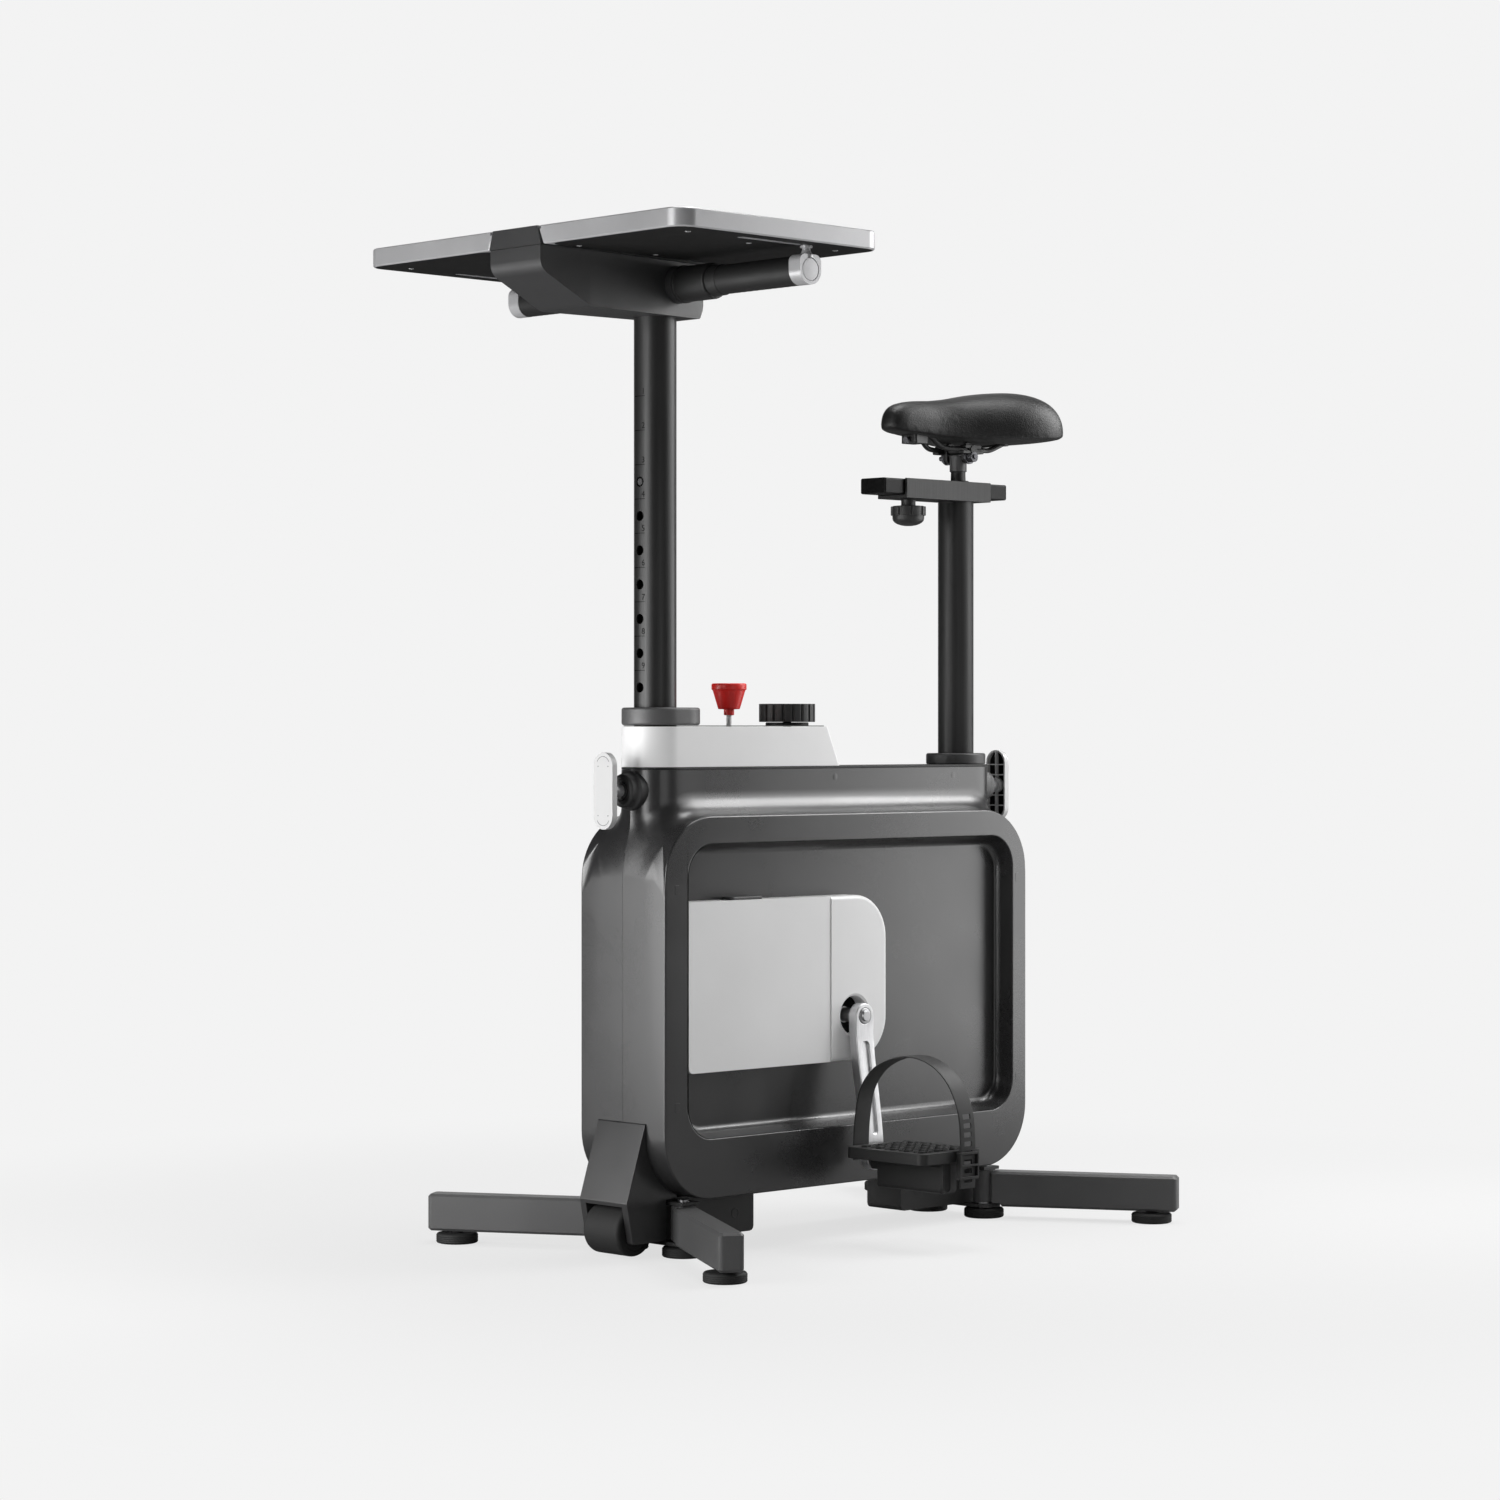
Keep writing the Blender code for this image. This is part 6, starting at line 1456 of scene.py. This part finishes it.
RAILS_Z = 0.965
STUB_X = SADDLE_X + 0.0045
SADDLE_FRONT = SADDLE_X - 0.1275

# Distance behind the nose, half width, and heights of top and underside above the rails
STATIONS = (
    (0.000, 0.0060, 0.0320, 0.0235), (0.003, 0.0120, 0.0415, 0.0200),
    (0.009, 0.0170, 0.0480, 0.0180), (0.020, 0.0215, 0.0530, 0.0165),
    (0.042, 0.0260, 0.0570, 0.0145), (0.075, 0.0330, 0.0590, 0.0120),
    (0.108, 0.0480, 0.0625, 0.0100), (0.138, 0.0680, 0.0680, 0.0090),
    (0.168, 0.0870, 0.0730, 0.0085), (0.198, 0.0965, 0.0755, 0.0090),
    (0.222, 0.0950, 0.0725, 0.0105), (0.236, 0.0850, 0.0640, 0.0130),
    (0.244, 0.0710, 0.0530, 0.0155), (0.249, 0.0520, 0.0390, 0.0180),
    (0.251, 0.0400, 0.0290, 0.0200),
)


def saddle_low(x):
    """Height of the saddle's underside at this x."""
    behind = x - SADDLE_FRONT
    for first, second in zip(STATIONS, STATIONS[1:]):
        if behind <= second[0]:
            part = max(behind - first[0], 0) / (second[0] - first[0])
            return RAILS_Z + first[3] + (second[3] - first[3]) * part
    return RAILS_Z + STATIONS[-1][3]


class BIKE_OT_saddle(bpy.types.Operator):
    """Builds the padded saddle, its base, rails, clamp and slider"""

    bl_idname = "bike.saddle"
    bl_label = "Saddle"

    def execute(self, context):
        self.cushion()
        self.base()
        self.rails()
        self.slider()
        return {"FINISHED"}

    def cushion(self, points=64):
        """The cover as a loft of the stations, filled by pressure."""
        rings = []
        for behind, half, top, low in flowing(STATIONS, 4):
            top, low = RAILS_Z + top, RAILS_Z + low
            edge = low + (top - low) * 0.14
            ring = []
            for step in range(points):
                angle = 2 * math.pi * step / points
                across, up = math.cos(angle), math.sin(angle)
                y = half * math.copysign(abs(across) ** 0.72, across)
                if up >= 0:
                    z = edge + (top - edge) * up**0.85
                else:
                    z = edge - (edge - low) * abs(up) ** 0.55
                ring.append((SADDLE_FRONT + behind, y, z))
            rings.append(ring)
        pad = loose(loft(rings), "saddle_pad")
        pad.data.materials.append(finish_of("saddle_vinyl"))
        self.fill(pad)
        seat(pad, "seat", "saddle_cushion", 80)

    def base(self, points=48):
        """The moulded base that closes the cover from below, a little inside its edge."""
        rings = []
        for behind, half, _, low in flowing(STATIONS[2:-2], 3):
            half = half - 0.0065
            low = RAILS_Z + low + 0.0012
            ring = []
            for step in range(points):
                angle = 2 * math.pi * step / points
                across, up = math.cos(angle), math.sin(angle)
                y = half * math.copysign(abs(across) ** 0.6, across)
                ring.append((SADDLE_FRONT + behind, y, low + 0.005 + 0.005 * up))
            rings.append(ring)
        add("saddle_base", loft(rings), "black_moulding", "seat", "saddle_shell")

    def fill(self, pad, most=0.0030):
        """Swells the cover, held along its lower edge and with each move capped."""
        even = pad.modifiers.new("Even mesh", "REMESH")
        even.mode = "VOXEL"
        even.voxel_size = 0.0034
        relax = pad.modifiers.new("Relaxed", "SMOOTH")
        relax.iterations = 3
        bake(pad)
        start = [vert.co.copy() for vert in pad.data.vertices]
        held = pad.vertex_groups.new(name="held")
        for vert in pad.data.vertices:
            above = vert.co.z - saddle_low(vert.co.x)
            held.add([vert.index], min(max(1 - (above - 0.006) / 0.012, 0), 1), "REPLACE")
        cloth = pad.modifiers.new("Filled cover", "CLOTH").settings
        cloth.quality = 6
        cloth.use_pressure = True
        cloth.uniform_pressure_force = 4
        cloth.effector_weights.gravity = 0
        cloth.vertex_group_mass = "held"
        scene = bpy.context.scene
        for step in range(1, 21):
            scene.frame_set(step)
        bake(pad)
        scene.frame_set(1)
        for vert, before in zip(pad.data.vertices, start):
            move = vert.co - before
            if move.length > most:
                vert.co = before + move * (most / move.length)
        finer = pad.modifiers.new("Finer", "SUBSURF")
        finer.levels = finer.render_levels = 1
        bake(pad)

    def rails(self):
        """Wire rails, and the clamp with its cheeks, toothed washers, nuts and bolt."""
        forms = []
        for side in (-1, 1):
            knots = [
                (0.060, 0.0080, 0.0160), (0.072, 0.0095, 0.0130), (0.081, 0.0110, 0.0060),
                (0.0904, 0.0130, 0.0012), (0.104, 0.0165, 0.0), (0.120, 0.0200, 0.0),
                (0.155, 0.0215, 0.0), (0.166, 0.0235, 0.0010), (0.1767, 0.0260, 0.0055),
                (0.187, 0.0280, 0.0105),
            ]
            path = [(SADDLE_FRONT + x, side * y, RAILS_Z + z) for x, y, z in flowing(knots, 4)]
            forms.append(swept(path, 0.0033, 16))
            cheek = band((STUB_X, RAILS_Z + 0.001), 0.0082, (STUB_X, RAILS_Z - 0.0095), 0.0076, 14)
            forms.append(prism(cheek, side * 0.0122, side * 0.0172, "Y"))
            cradle = slab(STUB_X, 0.019, RAILS_Z - 0.0052, RAILS_Z - 0.0015, 0.0015, 4)
            lid = slab(STUB_X, 0.015, RAILS_Z + 0.0015, RAILS_Z + 0.0058, 0.002, 4)
            for outline in (cradle, lid):
                forms.append(prism(outline, side * 0.0165, side * 0.0265, "Y"))
        forms.append(prism(circle((STUB_X, RAILS_Z), 0.0058, 28), -0.0275, 0.0275, "Y"))
        socket = rectangle(SADDLE_FRONT + 0.040, SADDLE_FRONT + 0.064, -0.013, 0.013, 0.003, 4)
        forms.append(prism(socket, RAILS_Z + 0.0045, RAILS_Z + 0.0165, "Z"))
        heel = rectangle(SADDLE_FRONT + 0.181, SADDLE_FRONT + 0.192, -0.033, 0.033, 0.003, 4)
        forms.append(prism(heel, RAILS_Z + 0.0068, RAILS_Z + 0.0115, "Z"))
        add("saddle_rail_set", merged(*forms), "post_paint", "seat", "saddle_rails", 0.0004, 2)
        bolts = []
        bolt_z = RAILS_Z - 0.0092
        for side, radius, start, end in (
            (-1, 0.0088, 0.0174, 0.0205), (-1, 0.0066, 0.0207, 0.0282), (-1, 0.0030, 0.028, 0.0305),
            (1, 0.0088, 0.0174, 0.0205), (1, 0.0056, 0.0207, 0.0252), (1, 0.0030, 0.025, 0.0305),
        ):
            teeth = fluted((STUB_X, bolt_z), radius, 16, radius * 0.12, 3)
            bolts.append(prism(teeth, side * start, side * end, "Y"))
        nose = fluted((0.0, RAILS_Z + 0.0085), 0.0042, 6, 0.0003, 3)
        bolts.append(prism(nose, SADDLE_FRONT + 0.0345, SADDLE_FRONT + 0.0405, "X"))
        add("saddle_clamp_bolts", merged(*bolts), "iron", "seat", "", 0.0002, 1)

    def slider(self):
        """The bar in the channel with its end caps, and the stub with its paler sleeve."""
        low, high, half = 0.9038, 0.9232, 0.0211
        front, rear = SADDLE_X - 0.1515, SADDLE_X + 0.0725
        bar = prism(slab(0, half, low, high, 0.0022, 4), front + 0.0015, rear - 0.0015, "X")
        bar = add("seat_bar", bar, "bar_moulding", "seat_slider", "saddle_slider", 0.0003, 1)
        outline = slab(0, half + 0.0002, low, high + 0.0002, 0.0024, 4)
        for name, start, end in (("front", front, front + 0.0030), ("rear", rear - 0.0030, rear)):
            cap = prism(outline, start, end, "X")
            add(f"seat_bar_cap_{name}", cap, "bar_moulding", "seat_slider", "", 0.0014, 3)
        stub = turned([
            (0, high - 0.001), (0.0135, high - 0.001), (0.0135, high + 0.0022),
            (0.0128, high + 0.0030), (0.0095, high + 0.0033), (0.0092, 0.9385), (0, 0.9385),
        ], (STUB_X, 0, 0), "Z", 48)
        add("seat_stub", stub, "black_moulding", "seat_slider")
        sleeve = turned([
            (0, 0.9378), (0.0102, 0.9378), (0.0108, 0.9384), (0.0108, 0.9578),
            (0.0102, 0.9585), (0, 0.9585),
        ], (STUB_X, 0, 0), "Z", 48)
        add("seat_stub_sleeve", sleeve, "leg_paint", "seat_slider")


# Stage

class BIKE_OT_stage(bpy.types.Operator):
    """Adds the camera, the soft lamps, the pale floor and the background"""

    bl_idname = "bike.stage"
    bl_label = "Stage"

    def execute(self, context):
        scene = context.scene
        scene.view_settings.view_transform = "Standard"
        self.camera(scene)
        stage = scene.bike_stage
        low, high = (0.05, -0.02, 0.5), (0, 0, 0.65)
        side, foot = (0.3, -0.05, 0.6), (0.3, -0.05, 0.35)
        self.lamp("top_softbox", (0.27, 0.15, 2.6), low, 1.05, stage.top_light)
        self.lamp("right_high_softbox", (1.1, -0.55, 1.6), low, 0.8, stage.right_high_light)
        self.lamp("right_low_softbox", (1.2, -0.55, 0.45), low, 0.8, stage.right_low_light)
        self.lamp("right_strip", (0.85, -0.45, 0.95), side, 0.5, stage.strip_light)
        self.lamp("right_foot_strip", (0.95, -0.75, 0.40), foot, 0.6, stage.foot_light)
        self.lamp("front_right_softbox", (0.9, -1.1, 1.2), low, 0.8, stage.front_light)
        self.lamp("front_softbox", (-0.6, -1.7, 0.5), low, 0.9, stage.fill_light)
        self.lamp("left_softbox", (-2.59, 0, 0.877), high, 1.3, stage.left_light)
        self.lamp("left_back_softbox", (-2.243, 1.295, 0.25), low, 0.9, stage.left_back_light)
        self.lamp("left_low_softbox", (-1.3, 0.4, 0.45), low, 0.8, stage.left_low_light)
        self.floor(stage)
        self.world(stage)
        return {"FINISHED"}

    def camera(self, scene):
        data = bpy.data.cameras.new("photo_camera")
        data.lens = 91.86
        data.sensor_width = 36
        data.shift_y = -0.0155
        data.clip_end = 200
        camera = bpy.data.objects.new("photo_camera", data)
        camera.location = (-3.2736, -3.2793, 0.6153)
        camera.rotation_euler = (math.radians(90), 0, math.radians(-44.384))
        scene.collection.objects.link(camera)
        scene.camera = camera

    def lamp(self, name, place, target, size, radiance):
        data = bpy.data.lights.new(name, "AREA")
        data.size = size
        data.energy = radiance * math.pi * size**2
        lamp = bpy.data.objects.new(name, data)
        lamp.location = place
        lamp.rotation_euler = (Vector(target) - Vector(place)).to_track_quat("-Z", "Y").to_euler()
        lamp.visible_camera = False
        bpy.context.scene.collection.objects.link(lamp)

    def floor(self, stage):
        form = prism(circle((0, 0), 60.0, 96), -0.02, 0.0, "Z")
        floor = loose(form, "floor")
        finish = Finish("pale_floor")
        nodes = finish.tree.nodes
        nodes.remove(finish.shader)
        reach = finish.node("ShaderNodeVectorMath", {"operation": "LENGTH"}, {0: finish.place()}, 1)
        near = 1 - reach.between(0.4, 1.5)
        speck = finish.noise(260.0, 3.0).between(0.3, 0.7)
        tone = finish.blend(speck, (0.66, 0.66, 0.66, 1), (0.71, 0.71, 0.71, 1))
        lit = finish.node("ShaderNodeBsdfDiffuse", {}, {"Color": tone})
        far = finish.node("ShaderNodeEmission", {}, {"Color": (*stage.background, 1.0)})
        shown = finish.node("ShaderNodeMixShader", {}, {0: near * stage.shadow, 1: far, 2: lit})
        plain = finish.node("ShaderNodeBsdfDiffuse", {}, {"Color": (0.32, 0.32, 0.32, 1)})
        seen = finish.node("ShaderNodeLightPath", {}, {}, "Is Camera Ray")
        both = finish.node("ShaderNodeMixShader", {}, {0: seen, 1: plain, 2: shown})
        finish.tree.links.new(both.socket, nodes["Material Output"].inputs["Surface"])
        floor.data.materials.append(finish.material)

    def world(self, stage):
        """White for the camera. Gloss sees that white behind the object and a dim room in front."""
        world = bpy.data.worlds.new("studio")
        bpy.context.scene.world = world
        world.use_nodes = True
        tree = world.node_tree
        tree.nodes.clear()
        finish = Finish.__new__(Finish)
        finish.material, finish.tree = world, tree
        way = finish.place("Generated")
        ahead = finish.node(
            "ShaderNodeVectorMath", {"operation": "DOT_PRODUCT"}, {0: way, 1: VIEW_WAY}, 1
        )
        behind = ahead.between(0.80, 0.99)
        room = finish.blend(behind, (*[stage.room_light] * 3, 1), (*stage.background, 1.0))
        air = finish.node("ShaderNodeBackground", {}, {"Color": (*[stage.air_light] * 3, 1)})
        reflected = finish.node("ShaderNodeBackground", {}, {"Color": room})
        white = finish.node("ShaderNodeBackground", {}, {"Color": (*stage.background, 1.0)})
        camera = finish.node("ShaderNodeLightPath", {}, {}, "Is Camera Ray")
        gloss = finish.node("ShaderNodeLightPath", {}, {}, "Is Glossy Ray")
        through = finish.node("ShaderNodeLightPath", {}, {}, "Is Transmission Ray")
        mixed = finish.node(
            "ShaderNodeMixShader", {}, {0: gloss.math("MAXIMUM", through), 1: air, 2: reflected}
        )
        mixed = finish.node("ShaderNodeMixShader", {}, {0: camera, 1: mixed, 2: white})
        out = tree.nodes.new("ShaderNodeOutputWorld")
        tree.links.new(mixed.socket, out.inputs["Surface"])


# Settings and panel

def colour(name, description, default):
    return bpy.props.FloatVectorProperty(
        name=name, description=description, default=default, subtype="COLOR", size=3, min=0, max=1
    )


def level(name, description, default):
    return bpy.props.FloatProperty(name=name, description=description, default=default, min=0)


def length(name, description, default):
    return bpy.props.FloatProperty(
        name=name, description=description, default=default, min=0, subtype="DISTANCE",
        unit="LENGTH",
    )


class BikeColours(bpy.types.PropertyGroup):
    """Colours of the bike's finishes"""

    casing: colour("Casing", "Paint of the casing and the wheel housing", (0.023, 0.0228, 0.0234))
    legs: colour("Legs", "Paint of the four legs", (0.090, 0.090, 0.091))
    keel: colour("Keels", "Paint of the keels", (0.052, 0.052, 0.052))
    dark_moulding: colour(
        "Dark moulding", "Head, desk spine, pin collars and latch", (0.024, 0.024, 0.025),
    )
    collars: colour("Collars", "Collars of the two posts", (0.088, 0.088, 0.089))
    knobs: colour("Knobs", "Tension knob and lock knob", (0.026, 0.026, 0.026))
    bar: colour("Slider bar", "Bar that carries the saddle", (0.003, 0.003, 0.003))
    black_moulding: colour("Black moulding", "Grips, pedals and saddle base", (0.012, 0.012, 0.012))
    panel: colour("Panels", "Console and drive covers", (0.91, 0.91, 0.91))
    push_knob: colour("Push knob", "Red push knob", (0.80, 0.022, 0.018))
    posts: colour("Desk post", "Paint of the desk post and the saddle rails", (0.018, 0.018, 0.018))
    saddle_post: colour("Saddle post", "Paint of the saddle post", (0.026, 0.026, 0.026))
    silver: colour("Silver", "Desk leaves, handle caps and pin rods", (0.56, 0.56, 0.57))
    pin_handles: colour("Pull pins", "Handles of the pull pins", (0.62, 0.62, 0.62))
    rubber: colour("Rubber", "Pads, wheel, belt and straps", (0.017, 0.017, 0.017))
    underside: colour("Underside", "Panel under the desk", (0.006, 0.006, 0.006))
    saddle: colour("Saddle", "Cover of the saddle", (0.0045, 0.0045, 0.0045))
    marking: colour("Marking", "Ticks and numerals on the post", (0.004, 0.004, 0.004))


class BikeSizes(bpy.types.PropertyGroup):
    """Sizes that set the bike's fine form"""

    neck_flare: length("Neck flare", "Radius between the neck and the casing", 0.030)
    casing_edge: length("Casing edge", "Rounding of the casing's edges", 0.0020)
    cover_roll: length("Cover roll", "Rounding of the crank cover's rim", 0.0055)


class BikeStage(bpy.types.PropertyGroup):
    """Light and background"""

    background: colour("Background", "Colour of the floor and backdrop", (0.896, 0.896, 0.896))
    top_light: level("Top softbox", "Radiance of the top softbox", 8.2)
    right_high_light: level("Right high softbox", "Radiance of the high rear softbox", 7.2)
    right_low_light: level("Right low softbox", "Radiance of the low rear softbox", 2.1)
    strip_light: level("Right strip", "Radiance of the small softbox near the casing", 2.5)
    foot_light: level("Right foot strip", "Radiance of the small softbox near the rear keel", 0.6)
    front_light: level("Front right softbox", "Radiance of the softbox in front at the right", 1.8)
    fill_light: level("Front fill", "Radiance of the softbox in front of the bike", 0.8)
    left_light: level("Left softbox", "Radiance of the left softbox", 4.4)
    left_back_light: level("Left back softbox", "Radiance of the softbox behind the left one", 3.0)
    left_low_light: level("Left low softbox", "Radiance of the low softbox at the left", 4.2)
    room_light: level("Room", "How bright the room looks in a reflection", 0.0)
    air_light: level("Air", "Even light from all round", 0.10)
    shadow: level("Shadow", "How much of the floor's shadow shows", 0.22)


class BIKE_PT_panel(bpy.types.Panel):
    """Lists the steps that dress the bike"""

    bl_label = "Folding exercise bike"
    bl_idname = "BIKE_PT_panel"
    bl_space_type = "VIEW_3D"
    bl_region_type = "UI"
    bl_category = "Bike"

    def draw(self, context):
        column = self.layout.column()
        for step in STEPS:
            column.operator(step.bl_idname)
        for group in ("bike_colours", "bike_sizes", "bike_stage"):
            settings = getattr(context.scene, group)
            for name in settings.__annotations__:
                column.prop(settings, name)


STEPS = (
    BIKE_OT_casing, BIKE_OT_console, BIKE_OT_knobs, BIKE_OT_covers, BIKE_OT_cranks,
    BIKE_OT_pedals, BIKE_OT_feet, BIKE_OT_wheel, BIKE_OT_posts, BIKE_OT_pins,
    BIKE_OT_handles, BIKE_OT_desk, BIKE_OT_saddle, BIKE_OT_stage,
)
CLASSES = (BikeColours, BikeSizes, BikeStage, *STEPS, BIKE_PT_panel)


def register():
    for cls in CLASSES:
        bpy.utils.register_class(cls)
    bpy.types.Scene.bike_colours = bpy.props.PointerProperty(type=BikeColours)
    bpy.types.Scene.bike_sizes = bpy.props.PointerProperty(type=BikeSizes)
    bpy.types.Scene.bike_stage = bpy.props.PointerProperty(type=BikeStage)


def unregister():
    del bpy.types.Scene.bike_stage
    del bpy.types.Scene.bike_sizes
    del bpy.types.Scene.bike_colours
    for cls in reversed(CLASSES):
        bpy.utils.unregister_class(cls)


def plain(box):
    return [[float(number) for number in corner] for corner in box]


def main():
    register()
    for step in STEPS:
        group, name = step.bl_idname.split(".")
        getattr(getattr(bpy.ops, group), name)()


if __name__ == "__main__":
    main()
